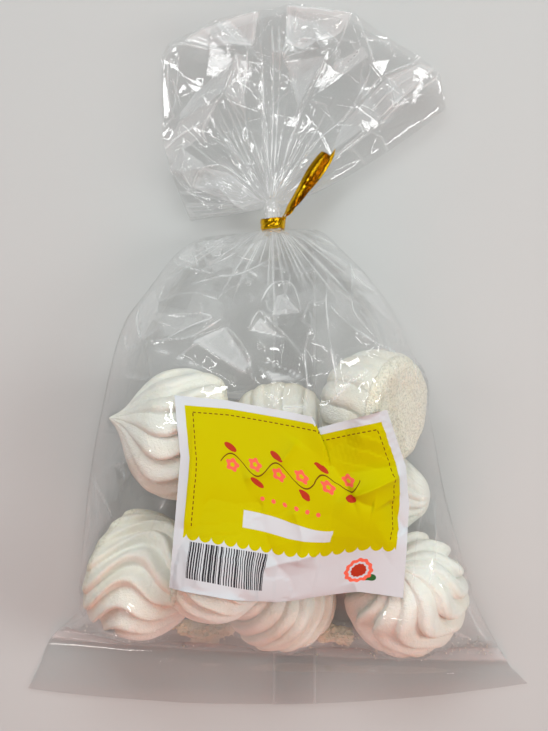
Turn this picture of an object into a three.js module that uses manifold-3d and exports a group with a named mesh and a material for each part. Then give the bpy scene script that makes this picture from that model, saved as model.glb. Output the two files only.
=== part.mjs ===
// A clear film bag of eight piped meringue cookies, tied with a gold twist tie and lying on its back.
// Millimetres, +Z up. The bag rests on z = 0, its tied mouth points to +Y and its label faces up.
//
// Three sub-parts: the filled bag as one closed solid (body, bottom skirt, neck and gathered mouth,
// with the crests of the cookies in relief), the paper label bedded into its front, and the twist tie.
// The bag's front is a stretched skin: every point takes the mean height of its neighbours,
// unless a cookie below holds it higher.

import * as THREE from 'three';
import { mergeVertices } from 'three/addons/utils/BufferGeometryUtils.js';
import Module from 'manifold-3d';

const wasm = await Module();
wasm.setup();

// --- Driving dimensions -------------------------------------------------------------------------

const NECK = { x: -2, z: 14, radius: 4.3, from: 55.6, to: 64 };
const FILM_THICKNESS = 0.9;        // of the flat skirt, as a solid
const RELIEF = 11;                 // how far the front skin sinks between the cookies
const SLACK = 0.05;                // how much the free skin bulges between two grid lines
const GAP = 0.3;                   // between two sub-parts
const LABEL = { thickness: 0.5, bed: 0.4, below: 0.95, margin: 1.013, cutHeight: 20 };

// The bag lies flat: left edge, centre line and right edge in plan, with the height of the side edge,
// from the neck (first) over the heat seal (third from last) to the bottom hem.
const STATIONS = [
  { left: [-6.4, 56.0], centre: [-2.0, 55.6], right: [2.4, 56.0], edge: 14 },
  { left: [-16.5, 54.3], centre: [-1.9, 49.0], right: [12.0, 56.2], edge: 14 },
  { left: [-31.8, 52.4], centre: [-1.9, 41.0], right: [20.0, 54.6], edge: 15 },
  { left: [-43.5, 46.0], centre: [-2.0, 29.0], right: [29.0, 46.0], edge: 17 },
  { left: [-56.0, 30.0], centre: [-2.0, 15.0], right: [41.0, 33.0], edge: 20 },
  { left: [-68.0, 11.0], centre: [-1.5, -1.0], right: [52.0, 14.0], edge: 25 },
  { left: [-76.5, -26.0], centre: [-1.0, -30.0], right: [64.0, -24.0], edge: 29 },
  { left: [-81.5, -56.0], centre: [-1.0, -60.0], right: [71.5, -57.0], edge: 29 },
  { left: [-84.8, -88.0], centre: [0.0, -92.0], right: [79.5, -86.0], edge: 26 },
  { left: [-86.5, -109.0], centre: [0.0, -115.0], right: [87.0, -108.0], edge: 16 },
  { left: [-101.2, -125.4], centre: [-0.3, -132.6], right: [102.5, -135.7], edge: 1.6 },
  { left: [-106.6, -137.5], centre: [-0.3, -143.0], right: [107.0, -141.0], edge: 1.3 },
  { left: [-111.8, -148.2], centre: [-0.3, -155.04], right: [111.8, -146.0], edge: 1.3 },
];
const SEAL_STATION = 10;
const BODY_COLUMNS = 30;
const BODY_ROWS = 36;

// The gathered mouth: the hem of the fan in plan, from its right corner round to its left lobe.
const MOUTH_HEM = [
  [74.7, 109.8], [71.6, 124.4], [67.2, 128.8], [42.9, 144.2], [31.9, 151.3], [6.3, 155.6],
  [-1.2, 153.1], [-27.6, 147.8], [-48.3, 137.2], [-51.0, 131.0], [-50.5, 95.7], [-47.5, 82.5], [-38.6, 60.4],
];
const MOUTH = { pivotY: 63.2, columns: 40, rows: 8, openHeight: 16, middle: 8.6, bow: 4.2 };
const PLEATS = { count: 9, height: 2.1, shoulder: 1.5 };

// Cookies: centre of the body, direction from base to tip, radius, height and the ridges' turn.
const COOKIES = [
  { name: 'a', at: [-39.9, -34.9, 39.7], tip: [-0.965, 0.18, 0.18], radius: 27.5, height: 52, twist: 0.25 },
  { name: 'b', at: [40.0, -24.4, 44.9], tip: [-0.83, 0.15, -0.53], radius: 26.5, height: 42, twist: 0.5 },
  { name: 'c', at: [-57.7, -94.0, 27.0], tip: [0.7, -0.42, 0.57], radius: 27.0, height: 45, twist: 1.3 },
  { name: 'd', at: [-22.5, -87.8, 49.2], tip: [0.84, 0.18, 0.45], radius: 22.5, height: 42, twist: 0.5 },
  { name: 'e', at: [4.3, -103.0, 21.6], tip: [-0.3, 0.4, 0.87], radius: 23.5, height: 41, twist: 0.8 },
  { name: 'f', at: [54.5, -99.9, 23.6], tip: [-0.3, 0.3, 0.9], radius: 27.5, height: 46, twist: 0.8 },
  { name: 'g', at: [-1.4, -34.7, 23.6], tip: [0.1, -0.75, 0.6], radius: 23.5, height: 40, twist: 0.4 },
  { name: 'h', at: [39.5, -59.0, 21.7], tip: [0.9, 0.02, 0.2], radius: 21.0, height: 42, twist: 0.4 },
];
const LOBES = 14;                  // ridges that the star nozzle leaves
const LOBE_DEPTH = 0.13;           // of the radius
const COOKIE_SIDES = 3 * LOBES;
const COOKIE_WAIST = 0.36;         // height of `at` above the base, as a share of the height
// Share of the radius, share of the height: from the rim of the flat base to just under the tip.
const COOKIE_PROFILE = [
  [0.84, 0.0], [0.97, 0.09], [1.0, 0.24], [0.99, 0.4], [0.93, 0.55],
  [0.77, 0.68], [0.51, 0.78], [0.25, 0.86], [0.09, 0.94],
];

// The label's four edges in plan. A tuck at the top leaves a step in the top edge.
const LABEL_TOP = [[-42.1, -15.8], [-21.2, -17.8], [4.5, -22.6], [14.2, -24.6], [15.6, -29.3], [44.0, -21.5]];
const LABEL_RIGHT = [[44.0, -21.5], [52.4, -44.8], [54.0, -61.2], [51.8, -99.8]];
const LABEL_BOTTOM = [[-44.1, -93.9], [-27.8, -96.3], [-0.8, -101.2], [6.0, -100.8], [33.2, -97.1], [51.8, -99.8]];
const LABEL_LEFT = [[-42.1, -15.8], [-39.4, -40.7], [-40.9, -57.9], [-44.1, -93.9]];
const LABEL_GRID = 18;
const TUCK = { from: [14.9, -27], to: [22, -62], height: 1.3, width: 3.2 };

const TIE = { inner: 4.6, thick: 1.3, turn: 2.9, from: 56.5, sides: 28 };
const TIE_TAIL = [[2.6, 60.2, 18.0], [5.0, 64.2, 20.4], [10.0, 69.6, 22.0], [16.7, 78.8, 22.6], [21.8, 87.6, 21.8]];
const TAIL_WIDTHS = [3.4, 3.2, 4.2, 6.4, 1.0];
const TAIL = { thick: 0.9, steps: 20, turn: 1.5 * Math.PI };

// --- Small helpers ------------------------------------------------------------------------------

const smooth = (from, to, x) => THREE.MathUtils.smoothstep(x, from, to);
const mix = THREE.MathUtils.lerp;

// A curve through plane points, each stretch between two points taking the same share of 0…1.
function curveThrough(points) {
  return new THREE.SplineCurve(points.map(([x, y]) => new THREE.Vector2(x, y)));
}

// Straight stretches between plane points, run along at an even pace.
function pathThrough(points) {
  const path = new THREE.CurvePath();
  for (let i = 1; i < points.length; i++) {
    path.add(new THREE.LineCurve(new THREE.Vector2(...points[i - 1]), new THREE.Vector2(...points[i])));
  }
  return path;
}

// A closed mesh from triangles of vertices: equal vertices are merged, and triangles without area go.
function closedGeometry(positions, indices) {
  const loose = new THREE.BufferGeometry();
  loose.setAttribute('position', new THREE.Float32BufferAttribute(positions, 3));
  loose.setIndex(indices);
  const merged = mergeVertices(loose, 1e-4);
  const kept = [];
  const index = merged.getIndex().array;
  for (let i = 0; i < index.length; i += 3) {
    const [a, b, c] = [index[i], index[i + 1], index[i + 2]];
    if (a !== b && b !== c && c !== a) kept.push(a, b, c);
  }
  merged.setIndex(kept);
  return merged;
}

// A closed solid between an upper and a lower sheet, both grids of rows of [x, y, z] seen from above,
// the first row at +Y and the first column at -X. Where the sheets meet, they share their edge.
function shellBetween(upper, lower) {
  const rows = upper.length;
  const columns = upper[0].length;
  const positions = [...upper.flat(2), ...lower.flat(2)];
  const top = (i, j) => i * columns + j;
  const bottom = (i, j) => rows * columns + top(i, j);
  const indices = [];
  const quad = (a, b, c, d) => indices.push(a, b, c, a, c, d);
  for (let i = 0; i + 1 < rows; i++) {
    for (let j = 0; j + 1 < columns; j++) {
      quad(top(i, j), top(i + 1, j), top(i + 1, j + 1), top(i, j + 1));
      quad(bottom(i, j), bottom(i, j + 1), bottom(i + 1, j + 1), bottom(i + 1, j));
    }
  }
  const last = columns - 1;
  for (let i = 0; i + 1 < rows; i++) {
    quad(top(i + 1, 0), top(i, 0), bottom(i, 0), bottom(i + 1, 0));
    quad(top(i, last), top(i + 1, last), bottom(i + 1, last), bottom(i, last));
  }
  for (let j = 0; j < last; j++) {
    quad(top(0, j), top(0, j + 1), bottom(0, j + 1), bottom(0, j));
    quad(top(rows - 1, j + 1), top(rows - 1, j), bottom(rows - 1, j), bottom(rows - 1, j + 1));
  }
  return closedGeometry(positions, indices);
}

function toSolid(geometry) {
  const vertProperties = new Float32Array(geometry.getAttribute('position').array);
  const triVerts = new Uint32Array(geometry.getIndex().array);
  return new wasm.Manifold(new wasm.Mesh({ numProp: 3, vertProperties, triVerts }));
}

function toGeometry(solid) {
  const mesh = solid.getMesh();
  const geometry = new THREE.BufferGeometry();
  geometry.setAttribute('position', new THREE.BufferAttribute(mesh.vertProperties, 3));
  geometry.setIndex(new THREE.BufferAttribute(mesh.triVerts, 1));
  return geometry;
}

// Height of the highest of some meshes over a plane point, or the given floor where there is none.
function heightOver(meshes, x, y, floor) {
  const ray = new THREE.Raycaster(new THREE.Vector3(x, y, 500), new THREE.Vector3(0, 0, -1));
  const hits = ray.intersectObjects(meshes, false);
  return hits.length ? hits[0].point.z : floor;
}

function namedMesh(name, geometry, colour, roughness, metalness) {
  const material = new THREE.MeshStandardMaterial({ color: colour, roughness, metalness });
  const mesh = new THREE.Mesh(geometry, material);
  mesh.name = name;
  return mesh;
}

// --- Cookies ------------------------------------------------------------------------------------

// A piped dome: rounded ridges with narrow furrows wind up from the flat base to the drawn-out tip.
function cookieGeometry({ at, tip, radius, height, twist }) {
  const axis = new THREE.Vector3(...tip).normalize();
  const turn = new THREE.Quaternion().setFromUnitVectors(new THREE.Vector3(0, 0, 1), axis);
  const base = new THREE.Vector3(...at).addScaledVector(axis, -COOKIE_WAIST * height);
  const positions = [];
  const place = (x, y, z) => {
    const point = new THREE.Vector3(x, y, z).applyQuaternion(turn).add(base);
    positions.push(...point.toArray());
  };
  COOKIE_PROFILE.forEach(([share, rise], ring) => {
    const depth = LOBE_DEPTH * (ring === 0 ? 0.5 : 1);
    for (let side = 0; side < COOKIE_SIDES; side++) {
      const angle = (2 * Math.PI * side) / COOKIE_SIDES;
      const crest = Math.sqrt(Math.abs(Math.cos((LOBES / 2) * angle)));
      const r = radius * share * (1 - depth * (1 - crest));
      const wound = angle + twist * rise;
      place(r * Math.cos(wound), r * Math.sin(wound), height * rise);
    }
  });
  place(0, 0, 0);
  place(0, 0, height);
  const rings = COOKIE_PROFILE.length;
  const [baseCentre, tipPoint] = [rings * COOKIE_SIDES, rings * COOKIE_SIDES + 1];
  const indices = [];
  for (let side = 0; side < COOKIE_SIDES; side++) {
    const next = (side + 1) % COOKIE_SIDES;
    for (let ring = 0; ring + 1 < rings; ring++) {
      const [low, high] = [ring * COOKIE_SIDES, (ring + 1) * COOKIE_SIDES];
      indices.push(low + side, low + next, high + next, low + side, high + next, high + side);
    }
    indices.push(baseCentre, next, side);
    indices.push(tipPoint, (rings - 1) * COOKIE_SIDES + side, (rings - 1) * COOKIE_SIDES + next);
  }
  return closedGeometry(positions, indices);
}

const cookieGeometries = COOKIES.map(cookieGeometry);
const cookieMeshes = cookieGeometries.map((geometry) => {
  geometry.computeBoundingSphere();
  return new THREE.Mesh(geometry);
});

// --- Bag body and skirt -------------------------------------------------------------------------

const leftEdge = curveThrough(STATIONS.map((s) => s.left));
const centreLine = curveThrough(STATIONS.map((s) => s.centre));
const rightEdge = curveThrough(STATIONS.map((s) => s.right));
const edgeHeight = curveThrough(STATIONS.map((s, i) => [i, s.edge]));
const SEAL = SEAL_STATION / (STATIONS.length - 1);

// Plan point of the body at v = 0 (neck) … 1 (hem) and u = -1 (left edge) … 1 (right edge).
function bodyPlan(u, v) {
  const left = leftEdge.getPoint(v);
  const centre = centreLine.getPoint(v);
  const right = rightEdge.getPoint(v);
  const middle = left.clone().add(right).multiplyScalar(0.5);
  return centre
    .clone()
    .addScaledVector(right.clone().sub(left), u / 2)
    .addScaledVector(middle.sub(centre), u * u);
}

// Columns crowd towards the side edges, where the film turns round to the back.
const columnPlace = (j) => -Math.cos((Math.PI * j) / BODY_COLUMNS);
const rowPlace = (i) => i / BODY_ROWS;
const SEAL_ROW = Math.round(SEAL * BODY_ROWS);

const bodyPoints = Array.from({ length: BODY_ROWS + 1 }, (_, i) =>
  Array.from({ length: BODY_COLUMNS + 1 }, (__, j) => bodyPlan(columnPlace(j), rowPlace(i))));

// The skirt waves a little over the surface that it lies on.
function skirtWave(x) {
  return 0.35 * (1 + Math.sin(x / 9)) + 0.25 * (1 + Math.sin(x / 23 + 1));
}

function startHeight(i, j) {
  const bulge = Math.sqrt(Math.max(0, 1 - columnPlace(j) ** 2));
  const edge = edgeHeight.getPoint(rowPlace(i)).y;
  if (i === 0) return NECK.z + NECK.radius * bulge;
  if (i >= SEAL_ROW) return edge + (FILM_THICKNESS / 2) * bulge + skirtWave(bodyPoints[i][j].x) * bulge;
  return edge;
}

// The front skin, relaxed until it is evenly stretched over the cookies.
function relaxedFront() {
  const hold = bodyPoints.map((row, i) => row.map((p) => (i < SEAL_ROW ? heightOver(cookieMeshes, p.x, p.y, 0) : 0)));
  const z = bodyPoints.map((row, i) => row.map((_, j) => Math.max(startHeight(i, j), j % BODY_COLUMNS ? hold[i][j] : 0)));
  for (let pass = 0; pass < 1500; pass++) {
    for (let i = 1; i < SEAL_ROW; i++) {
      for (let j = 1; j < BODY_COLUMNS; j++) {
        const mean = (z[i - 1][j] + z[i + 1][j] + z[i][j - 1] + z[i][j + 1]) / 4;
        z[i][j] = Math.max(hold[i][j], mean + SLACK);
      }
    }
  }
  return z;
}

// The back lies flat and turns up to the side edges, and near the neck it rises to the tie.
function backHeight(i, j, front) {
  const u = columnPlace(j);
  const v = rowPlace(i);
  const edge = edgeHeight.getPoint(v).y;
  if (i >= SEAL_ROW) return j % BODY_COLUMNS ? Math.max(0, front - FILM_THICKNESS * Math.sqrt(1 - u * u)) : front;
  const turnUp = Math.max(0, edge * (1 - 1.25 * Math.sqrt(1 - Math.abs(u) ** 5)));
  const neckUnder = NECK.z - NECK.radius * Math.sqrt(Math.max(0, 1 - u * u));
  return mix(neckUnder, turnUp, smooth(0, 0.2, v));
}

const drape = relaxedFront();
const drapeRows = bodyPoints.map((row, i) => row.map((p, j) => [p.x, p.y, drape[i][j]]));

function inLabel(x, y) {
  const sideways = smooth(-52, -44, x) * (1 - smooth(54, 62, x));
  const along = smooth(-109, -101, y) * (1 - smooth(-23, -15, y));
  return sideways * along;
}

// Gathers run down from the neck and fade out over the upper body: every other column stands up.
function gather(i, j) {
  const v = rowPlace(i);
  const fade = smooth(0, 0.06, v) * (1 - smooth(0.1, 0.36, v));
  return PLEATS.shoulder * (j % 2 ? 1 : -1) * fade;
}

function bodyGeometry() {
  const upper = drapeRows.map((row, i) => row.map(([x, y, z], j) => {
    const fromEdge = Math.min(1, 6 * (1 - Math.abs(columnPlace(j))));
    const fromSeal = smooth(0, 4, SEAL_ROW - i);
    const amongCookies = 1 - smooth(2, 26, y);
    const sunk = RELIEF * fromSeal * amongCookies * (1 - inLabel(x, y));
    return [x, y, z + fromEdge * (gather(i, j) - sunk)];
  }));
  const lower = upper.map((row, i) => row.map(([x, y, z], j) => [x, y, backHeight(i, j, z)]));
  return shellBetween(upper, lower);
}

// --- Neck and gathered mouth --------------------------------------------------------------------

function neckGeometry() {
  const neck = new THREE.CylinderGeometry(NECK.radius, NECK.radius, NECK.to - NECK.from, 24);
  neck.deleteAttribute('normal');
  neck.deleteAttribute('uv');
  neck.translate(NECK.x, (NECK.from + NECK.to) / 2, NECK.z);
  return mergeVertices(neck, 1e-4);
}

// A fan of pleats that opens from the neck to the hem. Its two sheets meet at the side folds.
function mouthGeometry() {
  const hem = pathThrough([...MOUTH_HEM].reverse());
  const upper = [];
  const lower = [];
  for (let i = 0; i <= MOUTH.rows; i++) {
    const out = 1 - i / MOUTH.rows;          // 1 at the hem (first row), 0 at the neck
    const upperRow = [];
    const lowerRow = [];
    for (let j = 0; j <= MOUTH.columns; j++) {
      const across = j / MOUTH.columns;
      const end = hem.getPointAt(across);
      const neckAngle = Math.PI * (1 - across);
      const start = new THREE.Vector2(
        NECK.x + 0.96 * NECK.radius * Math.cos(neckAngle),
        MOUTH.pivotY + 0.6 * Math.sin(neckAngle));
      const reach = out ** 1.1;
      const p = start.lerp(end, reach);
      p.y -= MOUTH.bow * 4 * out * (1 - out) * across ** 6;
      const fullness = Math.sqrt(Math.sin(Math.PI * across));
      const half = fullness * mix(0.9 * NECK.radius, MOUTH.openHeight / 2, reach);
      const middle = mix(NECK.z, MOUTH.middle, smooth(0, 0.7, out));
      const fold = Math.abs(((across * PLEATS.count) % 1) * 2 - 1) * 2 - 1;
      const pleat = PLEATS.height * fold * smooth(0.1, 0.8, out) * Math.sin(Math.PI * across);
      const top = middle + half + pleat;
      const base = Math.max(0.4, middle - half + 0.5 * pleat);
      upperRow.push([p.x, p.y, across % 1 ? top : middle]);
      lowerRow.push([p.x, p.y, across % 1 ? Math.min(base, top - 1) : middle]);
    }
    upper.push(upperRow);
    lower.push(lowerRow);
  }
  return shellBetween(upper, lower);
}

// --- Label --------------------------------------------------------------------------------------

// Plan grid of the label, blended between its four edges.
function labelPlan() {
  const [top, bottom] = [pathThrough(LABEL_TOP), pathThrough(LABEL_BOTTOM)];
  const [left, right] = [pathThrough(LABEL_LEFT), pathThrough(LABEL_RIGHT)];
  const corner = (path, t) => path.getPointAt(t);
  const grid = [];
  for (let i = 0; i <= LABEL_GRID; i++) {
    const b = i / LABEL_GRID;
    const row = [];
    for (let j = 0; j <= LABEL_GRID; j++) {
      const a = j / LABEL_GRID;
      const between = new THREE.Vector2()
        .addScaledVector(corner(top, a), 1 - b)
        .addScaledVector(corner(bottom, a), b)
        .addScaledVector(corner(left, b), 1 - a)
        .addScaledVector(corner(right, b), a)
        .addScaledVector(corner(top, 0), -(1 - a) * (1 - b))
        .addScaledVector(corner(top, 1), -a * (1 - b))
        .addScaledVector(corner(bottom, 0), -(1 - a) * b)
        .addScaledVector(corner(bottom, 1), -a * b);
      row.push(between);
    }
    grid.push(row);
  }
  return grid;
}

// The tuck stands up as a soft ridge that runs out towards the label's middle.
function tuckHeight(x, y) {
  const start = new THREE.Vector2(...TUCK.from);
  const along = new THREE.Vector2(...TUCK.to).sub(start);
  const offset = new THREE.Vector2(x, y).sub(start);
  const share = THREE.MathUtils.clamp(offset.dot(along) / along.lengthSq(), 0, 1);
  const away = offset.sub(along.multiplyScalar(share)).length();
  return TUCK.height * (1 - share) * Math.exp(-((away / TUCK.width) ** 2));
}

function sheetMesh(rows) {
  const columns = rows[0].length;
  const indices = [];
  for (let i = 0; i + 1 < rows.length; i++) {
    for (let j = 0; j + 1 < columns; j++) {
      const a = i * columns + j;
      indices.push(a, a + columns, a + columns + 1, a, a + columns + 1, a + 1);
    }
  }
  const geometry = new THREE.BufferGeometry();
  geometry.setAttribute('position', new THREE.Float32BufferAttribute(rows.flat(2), 3));
  geometry.setIndex(indices);
  return new THREE.Mesh(geometry);
}

const front = sheetMesh(drapeRows);
const labelUnder = labelPlan().map((row) => row.map((p) => {
  const skin = heightOver([front], p.x, p.y, 0);
  return [p.x, p.y, skin - LABEL.bed + GAP + tuckHeight(p.x, p.y)];
}));

const raised = (rows, rise) => rows.map((row) => row.map(([x, y, z]) => [x, y, z + rise]));

function labelGeometry() {
  return shellBetween(raised(labelUnder, LABEL.thickness), labelUnder);
}

// What the label's bed takes out of the bag: a little wider and lower than the label.
function labelBedGeometry() {
  const all = labelUnder.flat();
  const centre = [0, 1].map((axis) => all.reduce((sum, p) => sum + p[axis], 0) / all.length);
  const wider = labelUnder.map((row) => row.map(([x, y, z]) => [
    centre[0] + (x - centre[0]) * LABEL.margin,
    centre[1] + (y - centre[1]) * LABEL.margin,
    z - LABEL.below,
  ]));
  return shellBetween(raised(wider, LABEL.cutHeight), wider);
}

// --- Twist tie ----------------------------------------------------------------------------------

// Two turns side by side round the neck, as one ring with a furrow between them.
function tieRingGeometry() {
  const { inner, thick, turn, from, sides } = TIE;
  const outer = inner + thick;
  const profile = [
    [inner, 0], [outer - 0.3, 0], [outer, 0.4], [outer, turn - 0.4], [outer - 0.5, turn],
    [outer, turn + 0.4], [outer, 2 * turn - 0.4], [outer - 0.3, 2 * turn], [inner, 2 * turn], [inner, 0],
  ];
  const ring = new THREE.LatheGeometry(profile.map(([r, y]) => new THREE.Vector2(r, y)), sides);
  ring.deleteAttribute('normal');
  ring.deleteAttribute('uv');
  ring.translate(NECK.x, from, NECK.z);
  return mergeVertices(ring, 1e-4);
}

// The twisted end of the tie: a flat band that winds as it runs, widest near its tip.
function tieTailGeometry() {
  const path = new THREE.CatmullRomCurve3(TIE_TAIL.map((p) => new THREE.Vector3(...p)));
  const width = curveThrough(TAIL_WIDTHS.map((w, i) => [i, w]));
  const sectionSides = 8;
  const positions = [];
  const indices = [];
  for (let step = 0; step <= TAIL.steps; step++) {
    const t = step / TAIL.steps;
    const centre = path.getPoint(t);
    const ahead = path.getTangent(t);
    const side = new THREE.Vector3(0, 0, 1).cross(ahead).normalize();
    const up = ahead.clone().cross(side);
    const roll = TAIL.turn * (1 - t) ** 2;
    for (let k = 0; k < sectionSides; k++) {
      const angle = (2 * Math.PI * k) / sectionSides;
      const wide = (width.getPoint(t).y / 2) * Math.cos(angle);
      const high = (TAIL.thick / 2) * Math.sin(angle);
      const point = centre.clone()
        .addScaledVector(side, wide * Math.cos(roll) - high * Math.sin(roll))
        .addScaledVector(up, wide * Math.sin(roll) + high * Math.cos(roll));
      positions.push(...point.toArray());
    }
  }
  const ringStart = (step) => step * sectionSides;
  for (let step = 0; step < TAIL.steps; step++) {
    for (let k = 0; k < sectionSides; k++) {
      const next = (k + 1) % sectionSides;
      const [a, b] = [ringStart(step) + k, ringStart(step) + next];
      indices.push(a, b, b + sectionSides, a, b + sectionSides, a + sectionSides);
    }
  }
  for (let k = 1; k + 1 < sectionSides; k++) {
    const end = ringStart(TAIL.steps);
    indices.push(0, k + 1, k);
    indices.push(end, end + k, end + k + 1);
  }
  return closedGeometry(positions, indices);
}

// --- Assembly -----------------------------------------------------------------------------------

let bagSolid = toSolid(bodyGeometry()).add(toSolid(neckGeometry())).add(toSolid(mouthGeometry()));
for (const geometry of cookieGeometries) {
  bagSolid = bagSolid.add(toSolid(geometry));
}
bagSolid = bagSolid.subtract(toSolid(labelBedGeometry())).trimByPlane([0, 0, 1], 0);
const tieSolid = toSolid(tieRingGeometry()).add(toSolid(tieTailGeometry()));

const bagOfMeringues = new THREE.Group();
bagOfMeringues.add(
  namedMesh('bag', toGeometry(bagSolid), 0xece4d6, 0.35, 0),
  namedMesh('label', labelGeometry(), 0xe9d21a, 0.6, 0),
  namedMesh('twist_tie', toGeometry(tieSolid), 0xd9a520, 0.25, 0.9),
);

export default bagOfMeringues;
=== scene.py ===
"""Visual model of a clear film bag of piped meringue cookies, tied with a gold twist tie, lying on its back.

Shapes are worked out in millimetres with numpy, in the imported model's frame, and written in metres.
"""

import math

import bpy
import numpy as np
from bpy.props import FloatProperty, FloatVectorProperty, IntProperty, PointerProperty
from mathutils.geometry import delaunay_2d_cdt
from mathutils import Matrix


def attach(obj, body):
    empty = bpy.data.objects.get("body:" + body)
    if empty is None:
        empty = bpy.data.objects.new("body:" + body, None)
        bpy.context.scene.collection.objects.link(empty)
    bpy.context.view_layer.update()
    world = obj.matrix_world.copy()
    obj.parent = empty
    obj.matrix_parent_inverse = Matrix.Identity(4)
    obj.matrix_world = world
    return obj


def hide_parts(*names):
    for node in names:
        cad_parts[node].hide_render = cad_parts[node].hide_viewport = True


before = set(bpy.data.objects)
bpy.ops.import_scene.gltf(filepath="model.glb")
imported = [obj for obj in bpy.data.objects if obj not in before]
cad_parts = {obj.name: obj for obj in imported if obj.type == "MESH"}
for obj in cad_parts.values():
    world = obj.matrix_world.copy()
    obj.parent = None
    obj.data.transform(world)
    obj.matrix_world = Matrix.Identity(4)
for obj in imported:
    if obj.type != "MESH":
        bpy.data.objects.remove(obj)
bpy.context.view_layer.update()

bl_info = {
    "name": "Bag of Meringue Cookies",
    "version": (1, 0, 0),
    "blender": (4, 5, 0),
    "location": "3D View > Sidebar > Meringues",
    "description": "Builds a clear, tied bag of piped meringue cookies around its packed solids",
    "category": "Add Mesh",
}

MM = 0.001
BODY = "root"

# --- Driving dimensions, in millimetres; the plan is the solids' to a few millimetres -------------

# Left edge x y, centre line x y, right edge x y and height of the side edge, from neck to hem.
STATIONS = (
    (-6.4, 56.0, -2.0, 55.6, 2.4, 56.0, 14.0),
    (-16.5, 54.3, -1.9, 49.0, 12.0, 56.2, 14.0),
    (-31.8, 52.4, -1.9, 41.0, 20.0, 54.6, 15.0),
    (-43.5, 46.0, -2.0, 29.0, 29.0, 46.0, 17.0),
    (-56.0, 30.0, -2.0, 15.0, 41.0, 33.0, 20.0),
    (-68.0, 11.0, -1.5, -1.0, 52.8, 14.0, 25.0),
    (-76.5, -26.0, -1.0, -30.0, 64.9, -24.0, 29.0),
    (-81.5, -56.0, -1.0, -60.0, 71.5, -57.0, 29.0),
    (-84.8, -88.0, 0.0, -92.0, 79.5, -86.0, 26.0),
    (-86.5, -109.0, 0.0, -115.0, 87.0, -108.0, 16.0),
    (-101.2, -125.4, -0.3, -132.6, 102.5, -135.7, 1.6),
    (-106.6, -137.5, -0.3, -143.0, 107.0, -141.0, 1.3),
    (-111.8, -148.2, -0.3, -155.04, 111.8, -146.0, 1.3),
)
SEAL = 10 / 12  # place of the heat seal between neck (0) and hem (1)
WELD_BAND = 0.02  # width of the pressed strip above the seal, on the same scale
WELD_LINE = 0.0012  # width of the raised line at each of its borders, on the same scale
WELD_EASE = 0.07  # run below the seal over which the skirt starts to ripple, on the same scale
NECK_X, NECK_Z, NECK_RADIUS = -2.0, 14.0, 4.3  # middle and radius of the gathered neck
FAN_FROM = (NECK_X, 61.0)  # plan point that the body's gathered folds fan out from
TUBE_Y, TUBE_LENGTH = 65.0, 9.0  # where the neck's tube starts inside the mouth, and how long it is
# How far cookie b's rim pushes the bag's right edge out, at which y, and over what length.
RIM_PUSH, RIM_Y, RIM_SPREAD = 2.3, -10.5, 9.0

# Open hem of the mouth, from its right end round to its left.
MOUTH_HEM = (
    (74.7, 109.8), (71.6, 124.4), (67.2, 128.8), (42.9, 144.2), (31.9, 151.3), (6.3, 155.6),
    (-1.2, 153.1), (-27.6, 147.8), (-48.3, 137.2), (-51.0, 131.0), (-50.5, 95.7), (-47.5, 82.5),
    (-38.6, 60.4),
)

# Name, centre of the body, direction from base to tip, radius, height, turn of the ridges, their wave and
# its phase, the depth of the furrows as a share of the radius, how far each ridge leans over the next
# (1: upright, below 1 steep at its start), the angle of the first furrow, and how blunt the end is
# (0: pointed, 1: round).
COOKIES = (
    ("a", (-42.7, -32.4, 40.1), (-0.96, 0.20, 0.18), 28.0, 46.0, -0.24, 0.16, 0.57, 0.17, 0.54, 0.01, 0),
    ("b", (39.3, -20.9, 44.9), (-0.80, 0.12, -0.58), 24.2, 42.0, 0.50, 0.05, 0.0, 0.08, 0.70, 0.0, 0),
    ("c", (-56.8, -94.5, 27.0), (0.859, -0.356, 0.37), 27.5, 47.1, -0.85, 0.32, 1.64, 0.17, 1.9, -0.03, 0),
    ("d", (-23.5, -88.7, 49.2), (0.917, -0.378, 0.129), 23.4, 39.7, 1.45, 0.16, 0.16, 0.16, 1.8, 0.24, 0),
    ("e", (0.8, -101.4, 21.6), (-0.072, 0.642, 0.764), 24.6, 39.4, 1.78, 0.03, 5.63, 0.15, 0.52, 0.11, 0),
    ("f", (54.8, -100.6, 23.6), (-0.232, 0.536, 0.812), 26.5, 48.0, -0.41, 0.24, 1.40, 0.17, 0.50, 0.58, 0),
    ("g", (0.6, -32.6, 23.6), (0.10, -0.75, 0.60), 20.6, 40.0, 0.40, 0.04, 0.0, 0.16, 0.70, 0.0, 0),
    ("h", (39.5, -59.0, 21.7), (0.90, 0.02, 0.20), 21.0, 42.0, 1.30, 0.05, 0.0, 0.14, 0.70, 0.0, 1),
)
COOKIE_WAIST = 0.36  # height of the centre above the base, as a share of the height
# Share of the radius and of the height, from the middle of the base over its rim to the tip.
COOKIE_PROFILE = (
    (0.0, 0.006), (0.42, 0.01), (0.78, 0.0), (0.9, 0.025), (0.97, 0.09), (1.0, 0.24), (0.99, 0.4),
    (0.93, 0.55), (0.77, 0.68), (0.51, 0.78), (0.25, 0.86), (0.12, 0.92), (0.05, 0.97), (0.0, 1.0),
)
# The same shares of the radius for a cookie whose end is blunt.
BLUNT_SHARES = (0.0, 0.42, 0.78, 0.9, 0.97, 1.0, 0.99, 0.94, 0.83, 0.66, 0.52, 0.41, 0.25, 0.0)
LOBES = 14  # ridges round a cookie
FLOOR_GAP = 0.9  # least height of a cookie over the floor
BACK_LEAST, BACK_ROOM = 0.3, 0.4  # least height of the back film, and its room under the food

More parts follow.
